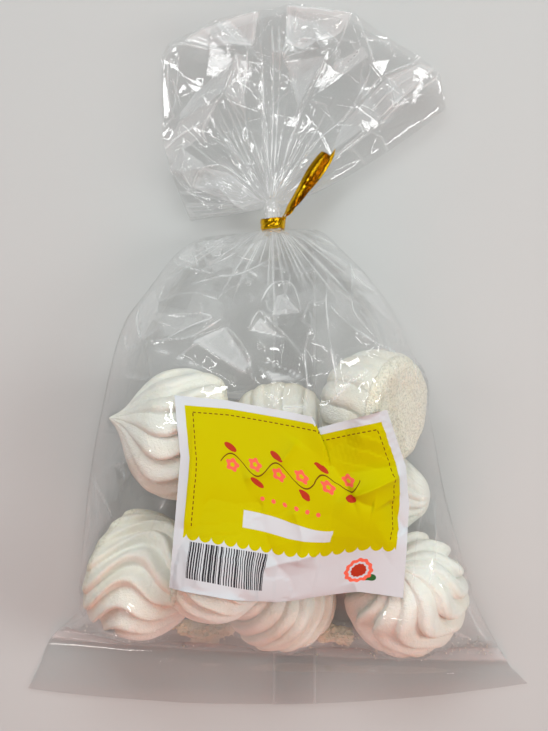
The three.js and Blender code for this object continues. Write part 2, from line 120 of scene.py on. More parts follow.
# Crumbs at the foot of the bag: centre x y, half length, half width, height, turn.
CRUMBS = (
    (-41.0, -120.6, 3.8, 3.0, 5.0, 0.4), (-35.2, -122.6, 4.8, 4.0, 6.4, -0.3),
    (-28.4, -122.6, 5.2, 4.1, 6.8, 0.5), (-22.0, -120.6, 3.4, 3.0, 5.0, 1.1),
    (22.2, -123.2, 4.6, 3.6, 6.0, 0.2), (28.2, -124.0, 5.4, 3.6, 6.8, -0.2),
    (-47.0, -121.0, 1.2, 0.9, 1.6, 0.0), (15.0, -126.5, 1.3, 1.0, 1.6, 0.7),
    (45.0, -128.2, 1.1, 0.9, 1.5, 0.3),
)

# Number of sugar grains, how far they lie from the middle, their y there, and the range of their sizes.
SUGAR_GRAINS, SUGAR_REACH, SUGAR_Y, SUGAR_SIZES = 190, 96, -127.5, (0.22, 0.62)

# Edges of the label in plan, each from left to right or from the top down.
LABEL_TOP = ((-42.1, -15.8), (-21.2, -17.8), (4.5, -22.6), (14.2, -24.6))
LABEL_TOP_RIGHT = ((15.6, -29.3), (44.0, -21.5))
LABEL_RIGHT = ((44.0, -21.5), (52.4, -44.8), (54.0, -61.2), (51.8, -99.8))
LABEL_BOTTOM = ((-44.1, -93.9), (-27.8, -96.3), (-0.8, -101.2), (6.0, -100.8), (33.2, -97.1), (51.8, -99.8))
LABEL_LEFT = ((-42.1, -15.8), (-39.4, -40.7), (-40.9, -57.9), (-44.1, -93.9))

# Rows and columns of the grids that the film and the label are made of.
BODY_ROWS, BODY_COLUMNS, BACK_COLUMNS, NECK_ROWS = 321, 245, 57, 10
MOUTH_ROWS, MOUTH_COLUMNS, LOWER_COLUMNS = 170, 331, 181
LABEL_ROWS, LABEL_COLUMNS = 160, 200
STRETCH_ROWS = 241  # rows from neck to seal while the skin is stretched
BAND_SIDES = 14  # points round the section of the tie's band

# Whiteness of the film. Painted highlights: along the crests of folds, and of the folds where it is gathered.
# Real cloudiness: where it is bunched at the neck and past the tie, along the weld, and at the weld's two
# lines.
CREST_HIGHLIGHT, FAN_HIGHLIGHT, NECK_CLOUD, PINCH_CLOUD, WELD_CLOUD, LINE_CLOUD = 0.9, 0.45, 0.38, 0.35, 0.34, 0.6

# Stretches of the plan that shaken lattices cover: lowest and highest x y.
FILM_AREA = ((-90, -130), (90, 60))
CRACK_AREA = ((-92, -134), (92, 64))
WELD_AREA = ((-115, -140), (115, -118))
SKIRT_AREA = ((-115, -158), (115, -124))
BACK_AREA = ((-115, -158), (115, 60))
MOUTH_AREA = ((-60, 55), (80, 160))
MOUTH_CRACK_AREA = ((-62, 55), (84, 162))
LABEL_AREA = ((-50, -105), (60, -10))


# --- Numbers on grids ----------------------------------------------------------------------------


def smooth(low, high, x):
    """0 below low, 1 above high, and 3t² − 2t³ between."""
    t = np.clip((x - low) / (high - low), 0, 1)
    return t * t * (3 - 2 * t)


def hump(away, width):
    """1 at the middle, falling off smoothly: exp(−(d/w)²)."""
    return np.exp(-((away / width) ** 2))


def cusp(away, width):
    """1 at a sharp crest, falling off at once: exp(−|d|/w)."""
    return np.exp(-np.abs(away) / width)


def arch(u):
    """Half circle over u = −1…1."""
    return np.sqrt(np.maximum(0, 1 - u**2))


def ring_angles(count):
    """Even angles once round, in radians."""
    return np.linspace(0, 2 * math.pi, count, endpoint=False)


def joined(x, y, z):
    """Points of three grids of coordinates."""
    return np.stack(np.broadcast_arrays(x, y, z), axis=-1)


def spline(points, t):
    """Catmull-Rom curve through the points at t = 0…1, each stretch taking the same share of t."""
    p = np.asarray(points, float)
    last = len(p) - 1
    place = np.clip(t, 0, 1) * last
    k = np.minimum(place.astype(int), last - 1)
    f = (place - k)[..., None]
    before, start, end, after = p[np.maximum(k - 1, 0)], p[k], p[k + 1], p[np.minimum(k + 2, last)]
    leave, arrive = (end - before) / 2, (after - start) / 2
    cubic = 2 * start - 2 * end + leave + arrive
    square = -3 * start + 3 * end - 2 * leave - arrive
    return cubic * f**3 + square * f**2 + leave * f + start


def polyline(points, t):
    """Point at the share t of the length of straight stretches between the points."""
    p = np.asarray(points, float)
    length = np.concatenate(([0], np.cumsum(np.linalg.norm(np.diff(p, axis=0), axis=1))))
    return np.stack([np.interp(t * length[-1], length, p[:, k]) for k in range(p.shape[1])], axis=-1)


def lattice_noise(x, y, z, size, seed):
    """Noise from −1 to 1: random values at the corners of a cubic lattice, blended smoothly between them."""
    q = joined(x, y, z) / size
    cell = np.floor(q).astype(np.int64)
    f = q - cell
    f = f * f * (3 - 2 * f)
    total = 0.0
    for dx in (0, 1):
        for dy in (0, 1):
            for dz in (0, 1):
                h = (cell[..., 0] + dx) * 73856093 ^ (cell[..., 1] + dy) * 19349663
                h = (h ^ (cell[..., 2] + dz) * 83492791 ^ seed * 2654435761) & 0x7FFFFFFF
                h = (h ^ (h >> 15)) * 1274126177 & 0x7FFFFFFF
                value = ((h ^ (h >> 13)) & 0xFFFF) / 32767.5 - 1
                weight = 1.0
                for axis, step in enumerate((dx, dy, dz)):
                    weight = weight * (f[..., axis] if step else 1 - f[..., axis])
                total = total + value * weight
    return total


def blurred(grid, passes):
    """Each value becomes the mean of itself and its four neighbours, once a pass. Edges stay."""
    grid = grid.copy()
    for _ in range(passes):
        inner = grid[1:-1, 1:-1] + grid[:-2, 1:-1] + grid[2:, 1:-1] + grid[1:-1, :-2] + grid[1:-1, 2:]
        grid[1:-1, 1:-1] = inner / 5
    return grid


def facets(corners, x, y):
    """Height of a net of flat triangles over plane points: the corners are joined by Delaunay's rule."""
    corners = np.asarray(corners, float)
    net = delaunay_2d_cdt([tuple(c[:2]) for c in corners], [], [], 0, 1e-6)
    origin = np.array([ids[0] for ids in net[3]])
    height = np.zeros(np.shape(x))
    for triangle in net[2]:
        (ax, ay, az), (bx, by, bz), (cx, cy, cz) = (corners[origin[k]] for k in triangle)
        area = (bx - ax) * (cy - ay) - (cx - ax) * (by - ay)
        if abs(area) < 1e-9:
            continue
        b = ((x - ax) * (cy - ay) - (cx - ax) * (y - ay)) / area
        c = ((bx - ax) * (y - ay) - (x - ax) * (by - ay)) / area
        a = 1 - b - c
        inside = (a >= -1e-6) & (b >= -1e-6) & (c >= -1e-6)
        height = np.where(inside, a * az + b * bz + c * cz, height)
    return height


def crumple(x, y, area, pitch, seed):
    """Facets between the points of a shaken square lattice, each at a random height from −1 to 1."""
    rng = np.random.default_rng(seed)
    low, high = area
    across = np.arange(low[0] - pitch, high[0] + 2 * pitch, pitch)
    along = np.arange(low[1] - pitch, high[1] + 2 * pitch, pitch)
    px, py = np.meshgrid(across, along)
    px, py = (p + rng.uniform(-0.42, 0.42, p.shape) * pitch for p in (px, py))
    heights = rng.uniform(-1, 1, px.shape)
    return facets(np.stack([px.ravel(), py.ravel(), heights.ravel()], axis=1), x, y)


# --- Height maps over the plane ------------------------------------------------------------------

MAP_LOW = np.array((-122.0, -165.0))  # x y of the first cell
MAP_SHAPE = (335, 245)  # cells of 1 mm, along y and x


def map_cells(x, y):
    """Row and column of the cell that holds each plan point."""
    column = np.clip(np.rint(x - MAP_LOW[0]).astype(int), 0, MAP_SHAPE[1] - 1)
    row = np.clip(np.rint(y - MAP_LOW[1]).astype(int), 0, MAP_SHAPE[0] - 1)
    return row, column


def sample_map(heights, x, y):
    """Value of a map between its cells, blended in both directions."""
    fx = np.clip(x - MAP_LOW[0], 0, MAP_SHAPE[1] - 1.001)
    fy = np.clip(y - MAP_LOW[1], 0, MAP_SHAPE[0] - 1.001)
    column, row = fx.astype(int), fy.astype(int)
    fx, fy = fx - column, fy - row
    lower = heights[row, column] * (1 - fx) + heights[row, column + 1] * fx
    upper = heights[row + 1, column] * (1 - fx) + heights[row + 1, column + 1] * fx
    return lower * (1 - fy) + upper * fy


def highest_map(points, floor=0.0):
    """Highest z in each cell and its eight neighbours, or the floor value where there is nothing."""
    heights = np.full(MAP_SHAPE, floor)
    np.maximum.at(heights, map_cells(points[:, 0], points[:, 1]), points[:, 2])
    wide = heights.copy()
    for dy in (-1, 0, 1):
        for dx in (-1, 0, 1):
            wide = np.maximum(wide, np.roll(heights, (dy, dx), axis=(0, 1)))
    return wide


def mean_map(points):
    """Mean z in each cell; empty cells take the mean of their filled neighbours, ring by ring."""
    total, count = np.zeros(MAP_SHAPE), np.zeros(MAP_SHAPE)
    cells = map_cells(points[:, 0], points[:, 1])
    np.add.at(total, cells, points[:, 2])
    np.add.at(count, cells, 1.0)
    for _ in range(4):
        nearby, filled = np.zeros(MAP_SHAPE), np.zeros(MAP_SHAPE)
        for dy, dx in ((0, 1), (0, -1), (1, 0), (-1, 0)):
            nearby += np.roll(total, (dy, dx), axis=(0, 1))
            filled += np.roll(count, (dy, dx), axis=(0, 1))
        empty = count == 0
        total = np.where(empty, nearby, total)
        count = np.where(empty, filled, count)
    return total / np.maximum(count, 1)


# --- Meshes --------------------------------------------------------------------------------------


def grid_faces(rows, columns, wrap=False):
    """Four-sided faces between the points of a grid, the last column joined to the first if it wraps."""
    across = np.arange(columns if wrap else columns - 1)
    row, column = np.meshgrid(np.arange(rows - 1), across, indexing="ij")
    start, after = row * columns + column, row * columns + (column + 1) % columns
    corners = (start, after, after + columns, start + columns)
    return np.stack([c.ravel() for c in corners], axis=1)


def make_piece(name, points, faces, material, replaced):
    """A smooth mesh object of millimetre points and lists of faces, riding on the bag in place of a node."""
    mesh = bpy.data.meshes.new(name)
    vertices = np.asarray(points, float).reshape(-1, 3) * MM
    corners = np.concatenate([np.asarray(f).ravel() for f in faces])
    sizes = np.concatenate([np.full(len(f), np.shape(f)[1]) for f in faces])
    mesh.vertices.add(len(vertices))
    mesh.vertices.foreach_set("co", vertices.ravel())
    mesh.loops.add(len(corners))
    mesh.loops.foreach_set("vertex_index", corners)
    mesh.polygons.add(len(sizes))
    mesh.polygons.foreach_set("loop_start", np.concatenate(([0], np.cumsum(sizes)[:-1])))
    mesh.update(calc_edges=True)
    mesh.validate()
    mesh.shade_smooth()
    mesh.materials.append(material)
    piece = bpy.data.objects.new(name, mesh)
    bpy.context.scene.collection.objects.link(piece)
    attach(piece, BODY)
    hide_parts(replaced)
    return piece


def keep_field(piece, name, values):
    """Keeps one number for each point, for the material to read."""
    attribute = piece.data.attributes.new(name, "FLOAT", "POINT")
    attribute.data.foreach_set("value", np.asarray(values, np.float32).ravel())


# --- Cookies -------------------------------------------------------------------------------------


def turned_to(direction):
    """Matrix that turns +Z to the direction by the shortest way."""
    z = np.array(direction, float)
    z /= np.linalg.norm(z)
    v = np.array((-z[1], z[0], 0.0))
    cross = np.array(((0, 0, v[1]), (0, 0, -v[0]), (-v[1], v[0], 0)))
    return np.eye(3) + cross + cross @ cross / (1 + z[2])


def cookie_surface(cookie, sides, rings):
    """Rings of points of a piped dome.

    The radius follows the profile, and fourteen ridges with narrow furrows run from the rim to the tip:
    r = R·p·(1 − d·(1 − c)), with d the depth of the furrows and c = sin(π·q^g) over the place q of
    a point between two furrows. An exponent g other than 1 makes each ridge lean over the next like a
    shingle. The ridges wind round the axis as they climb, in waves, and slow noise makes the dome uneven.
    """
    name, at, tip, radius, height, twist, wave, phase, furrow, lean, start, blunt = cookie
    seed = ord(name)
    rng = np.random.default_rng(seed)
    t = np.linspace(0, 1, rings)[:, None]
    share, rise = np.moveaxis(spline(COOKIE_PROFILE, t), -1, 0)
    if blunt:
        share = spline(np.array(BLUNT_SHARES)[:, None], t)[..., 0]
    angle = ring_angles(sides)[None, :]
    edges = (np.arange(LOBES) + rng.uniform(-0.1, 0.1, LOBES)) * 2 * math.pi / LOBES
    edges = np.concatenate([[edges[-1] - 2 * math.pi], edges, [edges[0] + 2 * math.pi]])
    place = np.interp(angle, edges, np.arange(LOBES + 2))
    lobe = np.floor(place).astype(int)
    crest = np.sin(math.pi * np.clip(place - lobe, 0.0, 1.0) ** lean)
    swell = rng.uniform(-0.3, 0.3, LOBES)[(lobe - 1) % LOBES]
    depth = furrow * (0.35 + 0.65 * smooth(0.08, 0.34, rise)) * (1 - 0.45 * smooth(0.85, 1.0, rise))
    depth = depth * smooth(0.7, 0.9, share + rise)
    r = radius * np.clip(share, 0, None) * (1 - depth * (1 + swell) * (1 - crest))
    wound = angle + start + twist * rise + wave * np.sin(2 * math.pi * 1.15 * rise + phase)
    x, y, z = r * np.cos(wound), r * np.sin(wound), height * rise + 0 * wound
    lump = lattice_noise(x, y, z, 11.0, seed) * 0.8 + lattice_noise(x, y, z, 3.0, seed + 1) * 0.12
    grow = 1 + lump * smooth(0, 0.3, share) / radius
    bend = 1.2 * smooth(0.7, 1.0, rise)
    side = rng.uniform(0, 2 * math.pi)
    x, y = x * grow + bend * math.cos(side), y * grow + bend * math.sin(side)
    under = 1 - smooth(0.02, 0.08, rise)
    dents = 0.22 * lattice_noise(x, y, z, 1.6, seed + 2) + 0.5 * lattice_noise(x, y, z, 7.0, seed + 3)
    z = z + dents * under * smooth(0.0, 0.1, t)
    turn = turned_to(tip)
    points = joined(x, y, z) @ turn.T + np.array(at) - COOKIE_WAIST * height * turn[:, 2]
    points[..., 2] += max(0.0, FLOOR_GAP - points[..., 2].min())
    return points


def cookie_toast_and_foot_shade(name, sides, rings):
    """How toasted each point of a cookie is: its flat base and the foot of its sides, in uneven patches.
    The foot's tint is partly real toasting and partly painted warm shade low on the cookie.
    """
    rise = spline(COOKIE_PROFILE, np.linspace(0, 1, rings)[:, None])[..., 1]
    angle = ring_angles(sides)[None, :]
    patch_x, patch_y = 3 * np.cos(angle) + 0 * rise, 3 * np.sin(angle) + 0 * rise
    patch = lattice_noise(patch_x, patch_y, 6 * rise, 1.0, ord(name))
    under = (1 - smooth(0.075, 0.095, rise + 0.012 * patch)) + 0 * angle
    # Foot tint: partly real toasting, partly painted warm shade near the base.
    foot = 0.40 * (1 - smooth(0.03, 0.45, rise + 0.08 * patch))
    toast_and_shade = np.clip(np.maximum(0.75 * under + 0.2 * patch * under, foot), 0, 1)
    return np.concatenate([toast_and_shade[1:-1].ravel(), toast_and_shade[0, :1], toast_and_shade[-1, :1]])


def cookie_faces(sides, rings):
    """Faces of the rings, with a fan of triangles at the middle of the base and at the tip."""
    side = np.arange(sides)
    after = (side + 1) % sides
    body = grid_faces(rings - 2, sides, wrap=True)
    base = np.stack([np.full(sides, (rings - 2) * sides), after, side], axis=1)
    last = (rings - 3) * sides
    tip = np.stack([np.full(sides, (rings - 2) * sides + 1), last + side, last + after], axis=1)
    return [body, base, tip]


def cookie_points(surface):
    """The rings between the two poles, then the base's middle and the tip."""
    return np.concatenate([surface[1:-1].reshape(-1, 3), surface[0, :1], surface[-1, :1]])


def crumb_surface(crumb, sides=72, rings=44):
    """A broken lump: a ball pushed in and out by noise at three sizes, r = 1 + Σ share·noise.

    It is then stretched to its length, width and height, cut flat at its foot and turned about the vertical.
    """
    cx, cy, long, wide, tall, turn = crumb
    polar = np.linspace(0, math.pi, rings)[:, None]
    angle = ring_angles(sides)[None, :]
    x, y, z = np.sin(polar) * np.cos(angle), np.sin(polar) * np.sin(angle), -np.cos(polar) + 0 * angle
    seed = int(10 * abs(cx))
    grow = 1.0
    for step, (share, size) in enumerate(((0.3, 0.62), (0.26, 0.24), (0.12, 0.1))):
        grow = grow + share * lattice_noise(x, y, z, size, seed + step)
    x, y, z = x * grow * long, y * grow * wide, (z * grow + 1) * tall / 2
    z = np.maximum(z, 0.2) + 0.8
    return np.stack([
        cx + x * math.cos(turn) - y * math.sin(turn), cy + x * math.sin(turn) + y * math.cos(turn), z
    ], axis=-1)


def sugar_grains(count):
    """Points and faces of small double pyramids strewn along the foot of the bag, most at its right end."""
    rng = np.random.default_rng(5)
    x = SUGAR_REACH * rng.beta(1.6, 1.0, count) * np.where(rng.random(count) < 0.62, 1, -0.9)
    y = SUGAR_Y - 0.045 * x + rng.normal(0, 2.2, count) + 3.5 * rng.random(count)
    size = rng.uniform(*SUGAR_SIZES, count)
    shape = np.array(((1, 0, 0), (0, 1, 0), (-1, 0, 0), (0, -1, 0), (0, 0, 1), (0, 0, -1)), float)
    turn = rng.uniform(0, math.pi, count)[:, None]
    corner_x = shape[:, 0] * np.cos(turn) - shape[:, 1] * np.sin(turn)
    corner_y = shape[:, 0] * np.sin(turn) + shape[:, 1] * np.cos(turn)
    points = np.stack([corner_x, corner_y, shape[:, 2] * 0.8 + 0 * corner_x], axis=-1) * size[:, None, None]
    points += np.stack([x, y, 0.9 + 0.8 * size], axis=-1)[:, None]
    upper = ((0, 1, 4), (1, 2, 4), (2, 3, 4), (3, 0, 4))
    lower = ((1, 0, 5), (2, 1, 5), (3, 2, 5), (0, 3, 5))
    faces = np.array(upper + lower)
    return points.reshape(-1, 3), (faces[None] + 6 * np.arange(count)[:, None, None]).reshape(-1, 3)


# --- Bag skin ------------------------------------------------------------------------------------


def bag_plan(u, v):
    """Plan point at u = −1 (left edge)…1 (right edge), v = 0 (neck)…1 (hem): a parabola in u through
    the left edge, the centre line and the right edge, which are curves through the stations. The right
    edge is pushed out where the rim of cookie b stands against it."""
    at = spline(STATIONS, v)
    left, centre, right = at[..., 0:2], at[..., 2:4], at[..., 4:6]
    u = np.asarray(u)[..., None]
    plan = centre + (right - left) / 2 * u + ((left + right) / 2 - centre) * u * u
    plan[..., 0] += RIM_PUSH * hump(plan[..., 1] - RIM_Y, RIM_SPREAD) * np.clip(u[..., 0], 0, 1) ** 8
    return plan


def side_height(v):
    """Height of the film's side edges."""
    return spline(STATIONS, v)[..., 6]


def column_places(columns, crowding):
    """u over the columns: crowding 0 gives even steps, 1 crowds them towards the side edges."""
    even = np.linspace(-1, 1, columns)
    return (1 - crowding) * even - crowding * np.cos(np.linspace(0, math.pi, columns))


def label_mask(x, y):
    """1 under the label, fading to 0 some way outside it."""
    return smooth(-50, -43, x) * (1 - smooth(52, 58, x)) * smooth(-106, -99, y) * (1 - smooth(-25, -19, y))


def stretched_skin(hold, rows, columns, slack):
    """Front skin at rest: each point takes the mean of its four neighbours plus a little slack,
    unless what is held below lifts it. Solved on a coarse grid first, then on finer ones."""
    z = None
    for scale in (8, 4, 2, 1):
        v = np.linspace(0, SEAL, (rows - 1) // scale + 1)[:, None]
        u = column_places((columns - 1) // scale + 1, 0.5)[None, :]
        plan = bag_plan(u, v)
        below = sample_map(hold, plan[..., 0], plan[..., 1])
        edge = side_height(v) + 0 * u
        z = np.maximum(edge, below) if z is None else upsampled(z, below.shape)
        z[:, 0], z[:, -1] = edge[:, 0], edge[:, -1]
        z[0] = NECK_Z + NECK_RADIUS * arch(u[0])
        z[-1] = edge[-1] + 0.5 * arch(u[0])
        for _ in range(260 * scale):
            mean = (z[:-2, 1:-1] + z[2:, 1:-1] + z[1:-1, :-2] + z[1:-1, 2:]) / 4
            z[1:-1, 1:-1] = np.maximum(below[1:-1, 1:-1], mean + slack * scale**2)
    return z


def upsampled(grid, shape):
    """The grid on more rows and columns, blended between its own."""
    rows = np.linspace(0, grid.shape[0] - 1, shape[0])
    columns = np.linspace(0, grid.shape[1] - 1, shape[1])
    wide = np.stack([np.interp(columns, np.arange(grid.shape[1]), row) for row in grid])
    return np.stack([np.interp(rows, np.arange(grid.shape[0]), column) for column in wide.T], axis=1)


def creases(x, y, lines, width):
    """Sharp folds along curves: each adds h·exp(−d/w), with d the distance to its curve.

    A fold fades at its ends. Also gives a painted highlight along each fold's crest, from 0 to 1: a thin line
    of uneven width with a faint sheen beside it.
    """
    height, crest = np.zeros(x.shape), np.zeros(x.shape)
    uneven = 0.5 + 0.5 * lattice_noise(x, y, 0 * x, 7.0, 61)
    for tall, *points in lines:
        path = spline(points, np.linspace(0, 1, 5 * len(points) - 4))
        low, high = path.min(axis=0) - 5 * width, path.max(axis=0) + 5 * width
        near = (x > low[0]) & (x < high[0]) & (y > low[1]) & (y < high[1])
        px, py = x[near], y[near]
        away, place = np.full(px.shape, 1e9), np.zeros(px.shape)
        for k, (start, end) in enumerate(zip(path[:-1], path[1:])):
            ahead = end - start
            t = ((px - start[0]) * ahead[0] + (py - start[1]) * ahead[1]) / max(ahead @ ahead, 1e-9)
            t = np.clip(t, 0, 1)
            d = np.hypot(px - start[0] - t * ahead[0], py - start[1] - t * ahead[1])
            place = np.where(d < away, (k + t) / (len(path) - 1), place)
            away = np.minimum(away, d)
        fade = smooth(-0.06, 0.14, place) * (1 - smooth(0.86, 1.06, place))
        height[near] += tall * cusp(away, width) * fade
        # Painted highlight on the crest: a thin bright line and a broad sheen, standing in for the lamps'
        # glints.
        line = hump(away, 0.17 + 0.26 * uneven[near]) * (0.15 + 0.85 * uneven[near])
        crest_sheen = 0.3 * cusp(away, 1.8) * smooth(0.45, 0.9, uneven[near])
        crest[near] = np.maximum(crest[near], np.maximum(line, crest_sheen) * fade * min(1, abs(tall)))
    return height, crest


def crackle(x, y, area, pitch, seed):
    """Straight ridges h·exp(−d/w) along the borders between the nearest points of a shaken lattice.

    About half of the borders have one. Also gives a painted highlight line along each ridge's crest.
    """
    rng = np.random.default_rng(seed)
    lattice = np.meshgrid(*(np.arange(low, high, pitch) for low, high in zip(*area)))
    px, py = ((p + rng.uniform(-0.45, 0.45, p.shape) * pitch).ravel() for p in lattice)
    strength = np.clip(rng.uniform(-1, 1, (len(px), len(px))), 0, 1)
    near, next_near = np.full(x.shape, 1e9), np.full(x.shape, 1e9)
    first, second = np.zeros(x.shape, int), np.zeros(x.shape, int)
    for k in range(len(px)):
        away = np.hypot(x - px[k], y - py[k])
        closest, close = away < near, away < next_near
        second = np.where(closest, first, np.where(close, k, second))
        next_near = np.where(closest, near, np.where(close, away, next_near))
        first, near = np.where(closest, k, first), np.where(closest, away, near)
    apart = np.hypot(px[first] - px[second], py[first] - py[second]) + 1e-9
    border = (next_near**2 - near**2) / (2 * apart)
    tall = strength[np.minimum(first, second), np.maximum(first, second)]
    return tall * cusp(border, 1.6), tall * hump(border, 0.35)


def gathers(x, y, centre, spread, count, longest, seed):
    """Sharp folds that run out straight from a gathered neck, each h·exp(−d/w) over its own length.

    spread is the first and last angle from +X. Also gives a painted highlight line along each fold's crest.
    """
    rng = np.random.default_rng(seed)
    height, crest = np.zeros(x.shape), np.zeros(x.shape)
    dx, dy = x - centre[0], y - centre[1]
    far = np.hypot(dx, dy)
    for k in range(count):
        turn = spread[0] + (spread[1] - spread[0]) * (k + rng.uniform(0.1, 0.9)) / count
        reach = longest * rng.uniform(0.2, 1.0) ** 1.4
        tall, width = rng.uniform(0.35, 1.0) * rng.choice((-1, 1)), rng.uniform(0.6, 1.5)
        bent = turn + rng.uniform(-0.12, 0.12) * far / longest
        ahead = dx * np.cos(bent) + dy * np.sin(bent)
        away = np.abs(dy * np.cos(bent) - dx * np.sin(bent))
        fade = smooth(0.5, 5, ahead) * (1 - smooth(0.45 * reach, reach, ahead))
        grow = 0.35 + 0.65 * smooth(0, 30, ahead)
        height += tall * grow * cusp(away, width * (0.4 + 0.6 * grow)) * fade
        crest = np.maximum(crest, hump(away, 0.4) * fade * 0.7)
    return height, crest


# Corners of the front film's flat facets: x, y and how far each stands up or sinks in.
FRONT_FOLDS = (
    (-60, 40, 0), (-68, 8, 0), (-49, 44, 1.5), (-57, 6, 1), (-52, 19, 3), (-47, 7, -2), (-27, 16, 2.5),
    (-40, 13, -3), (-34, 37, -2), (-25, 34, 3), (-36, 53, 1), (-12, 48, 1.5), (-11, 31, 3), (-22, 25, -2),
    (-12, 11, 3), (3, 8, -2.5), (-3, 30, -2), (10, 18, 3), (4, 24, -3), (21, 33, 3), (14, 44, -2),
    (30, 38, 2.5), (31, 25, -3), (49, 26, 2), (39, 30, -1), (41, 5, 3), (26, 16, 2.5), (50, 1, 0),
    (-37, 7, 1), (-12, -7, 2.5), (-22, 13, -1.5), (10, -9, 2), (1, -4, -2.5), (12, -16, 1), (23, -5, 2),
    (-32, -4, -1), (38, 48, 0), (60, -10, 0), (-74, -14, 0), (-50, -12, 0), (40, -14, 0), (0, -20, 0),
    (-2, 53, 0),
)
# Sharp folds of the front film: height, then the points of the curve.
FRONT_CREASES = (
    (1.6, (-49, 44), (-43, 40), (-34, 37), (-27, 35)),
    (1.4, (-49, 44), (-43, 49), (-36, 53)),
    (1.2, (-36, 53), (-36, 46), (-34, 38)),
    (-1.0, (-34, 51), (-32, 44), (-29, 37)),
    (1.3, (-28, 52), (-26, 47), (-24, 43)),
    (1.1, (-24, 53), (-23, 49), (-23, 44)),
    (1.5, (-2, 52), (-12, 48), (-22, 42), (-30, 38)),
    (-1.3, (1, 45), (-6, 40), (-16, 35), (-25, 34), (-37, 31)),
    (0.9, (-12, 37), (-9, 34), (-14, 37)),
    (1.2, (-25, 25), (-21, 28), (-17, 30), (-11, 31)),
    (-0.8, (-36, 28), (-31, 26), (-25, 24)),
    (1.6, (-57, 31), (-59, 23), (-60, 15), (-57, 6)),
    (1.2, (-57, 6), (-47, 7), (-37, 8), (-29, 12), (-22, 17)),
    (1.4, (-49, 30), (-51, 21), (-50, 14), (-47, 8)),
    (1.6, (-52, 19), (-41, 18), (-31, 18), (-27, 16)),
    (1.6, (-27, 16), (-36, 13), (-42, 10), (-47, 7)),
    (-0.8, (-56, 5), (-45, 1), (-32, -4), (-21, -7), (-15, -8)),
    (1.4, (-37, 7), (-29, 3), (-21, -2), (-12, -7)),
    (1.3, (-22, 13), (-17, 8), (-12, 0), (-11, -6)),
    (-1.2, (-20, 5), (-15, 3), (-17, 0)),
    (1.4, (-12, -7), (-7, -12), (-5, -15), (0, -18), (-4, -21)),
    (1.2, (-8, -4), (-3, -9), (4, -10), (10, -9)),
    (-1.1, (-6, -2), (3, -5), (10, -9)),
    (1.4, (-8, 21), (-3, 30), (3, 32), (7, 29), (10, 18)),
    (1.2, (10, 18), (4, 20), (0, 17), (-4, 17)),
    (1.2, (-5, 24), (-4, 20), (-1, 18)),
    (1.3, (-12, 11), (-10, 16), (-7, 19), (-2, 14), (3, 9), (8, 3), (11, -1)),
    (-1.1, (-12, 11), (-6, 10), (3, 8)),
    (1.3, (13, 19), (14, 14), (12, 8), (11, 0), (12, -10), (12, -20)),
    (1.4, (18, 38), (21, 33), (20, 23), (21, 8), (23, -5), (24, -15)),
    (1.3, (4, 58), (6, 52), (13, 44), (18, 38)),
    (1.5, (6, 53), (14, 49), (22, 44), (30, 38)),
    (-1.2, (6, 62), (11, 58), (18, 49), (24, 48), (29, 45)),
    (1.4, (31, 43), (33, 33), (39, 30), (49, 26)),
    (1.0, (32, 39), (31, 25), (32, 18), (37, 11), (40, 8)),
    (1.8, (21, 22), (26, 16), (32, 11), (41, 5), (50, 1)),
    (-1.0, (46, 23), (55, 13), (42, 21)),
    (1.0, (38, -4), (30, -10), (24, -16), (17, -24)),
    (0.9, (-70, 0), (-71, -10), (-72, -21)),
    (0.8, (-67, 14), (-64, 4), (-59, 5)),
    (0.8, (55, 14), (56, 0), (58, -12)),
    (1.2, (-71, -47), (-67, -45), (-63, -43)),
    (-1.0, (-67, -44), (-65, -47), (-63, -50)),
    (1.0, (-63, -43), (-58, -40), (-51, -40)),
    (1.2, (-79, -50), (-76, -55), (-71, -62), (-68, -68)),
    (-1.0, (-79, -53), (-77, -59), (-75, -68)),
    (1.0, (-48, -62), (-45, -57), (-43, -53)),
    (0.8, (60, -57), (59, -68), (57, -79), (56, -95)),
    (0.8, (66, -59), (66, -79), (63, -95)),
    (1.2, (71, -114), (77, -118), (84, -122)),
    (0.9, (-96, -121), (-84, -112), (-78, -104)),
    (0.9, (-90, -123), (-72, -116), (-60, -119)),
    (-0.8, (-14, -121), (2, -127), (16, -122), (30, -128)),
    (0.9, (96, -130), (86, -116), (80, -104)),
    (0.7, (-84, -90), (-80, -76), (-80, -60)),
    (0.7, (77, -92), (75, -70), (71, -52)),
)

# Flat panes of the front film painted white as reflections of the lamps: share, then the corners.
FRONT_GLARE_PANES = (
    (0.35, (30.8, 37.6), (40.7, 38.4), (49.8, 26.8), (40.7, 27.6), (32.1, 33.2)),
    (0.16, (32.8, 28.3), (49.5, 26.1), (55.9, 13.3), (43.9, 16.7)),
    (0.26, (-48.7, 44.5), (-36.6, 51.8), (-35.7, 38.9)),
    (0.26, (-34.3, 49.9), (-23.1, 52.1), (-24.0, 42.6), (-27.4, 42.2)),
    (0.30, (-0.8, 26.0), (2.6, 26.9), (10.2, 18.0), (-2.9, 16.8)),
    (0.30, (-11.7, 11.2), (-7.3, 16.7), (0.9, 8.3)),
    (0.32, (-35.6, 6.6), (-21.7, 12.9), (-10.8, -3.5), (-14.6, -6.8)),
    (0.38, (-6.2, -5.2), (10.1, -8.9), (-2.0, -10.6)),
    (0.16, (-51.4, 18.4), (-31.1, 18.9), (-26.5, 15.9), (-46.7, 8.3)),
    (0.18, (-59.1, 22.5), (-52.7, 31.8), (-48.8, 11.4), (-57.4, 5.9)),
    (0.34, (0.9, -19.8), (10.5, -19.0), (12.6, -24.8), (2.6, -23.1)),
    (0.14, (-30.6, 40.5), (-6.7, 50.7), (-11.8, 40.5), (-27.2, 35.4)),
)
# A flat pane of the back film painted white as a reflection: share, then the corners.
BACK_GLARE_PANES = ((0.40, (-30.0, -15.2), (-8.0, -14.4), (-8.0, -18.8), (-30.0, -19.4)),)


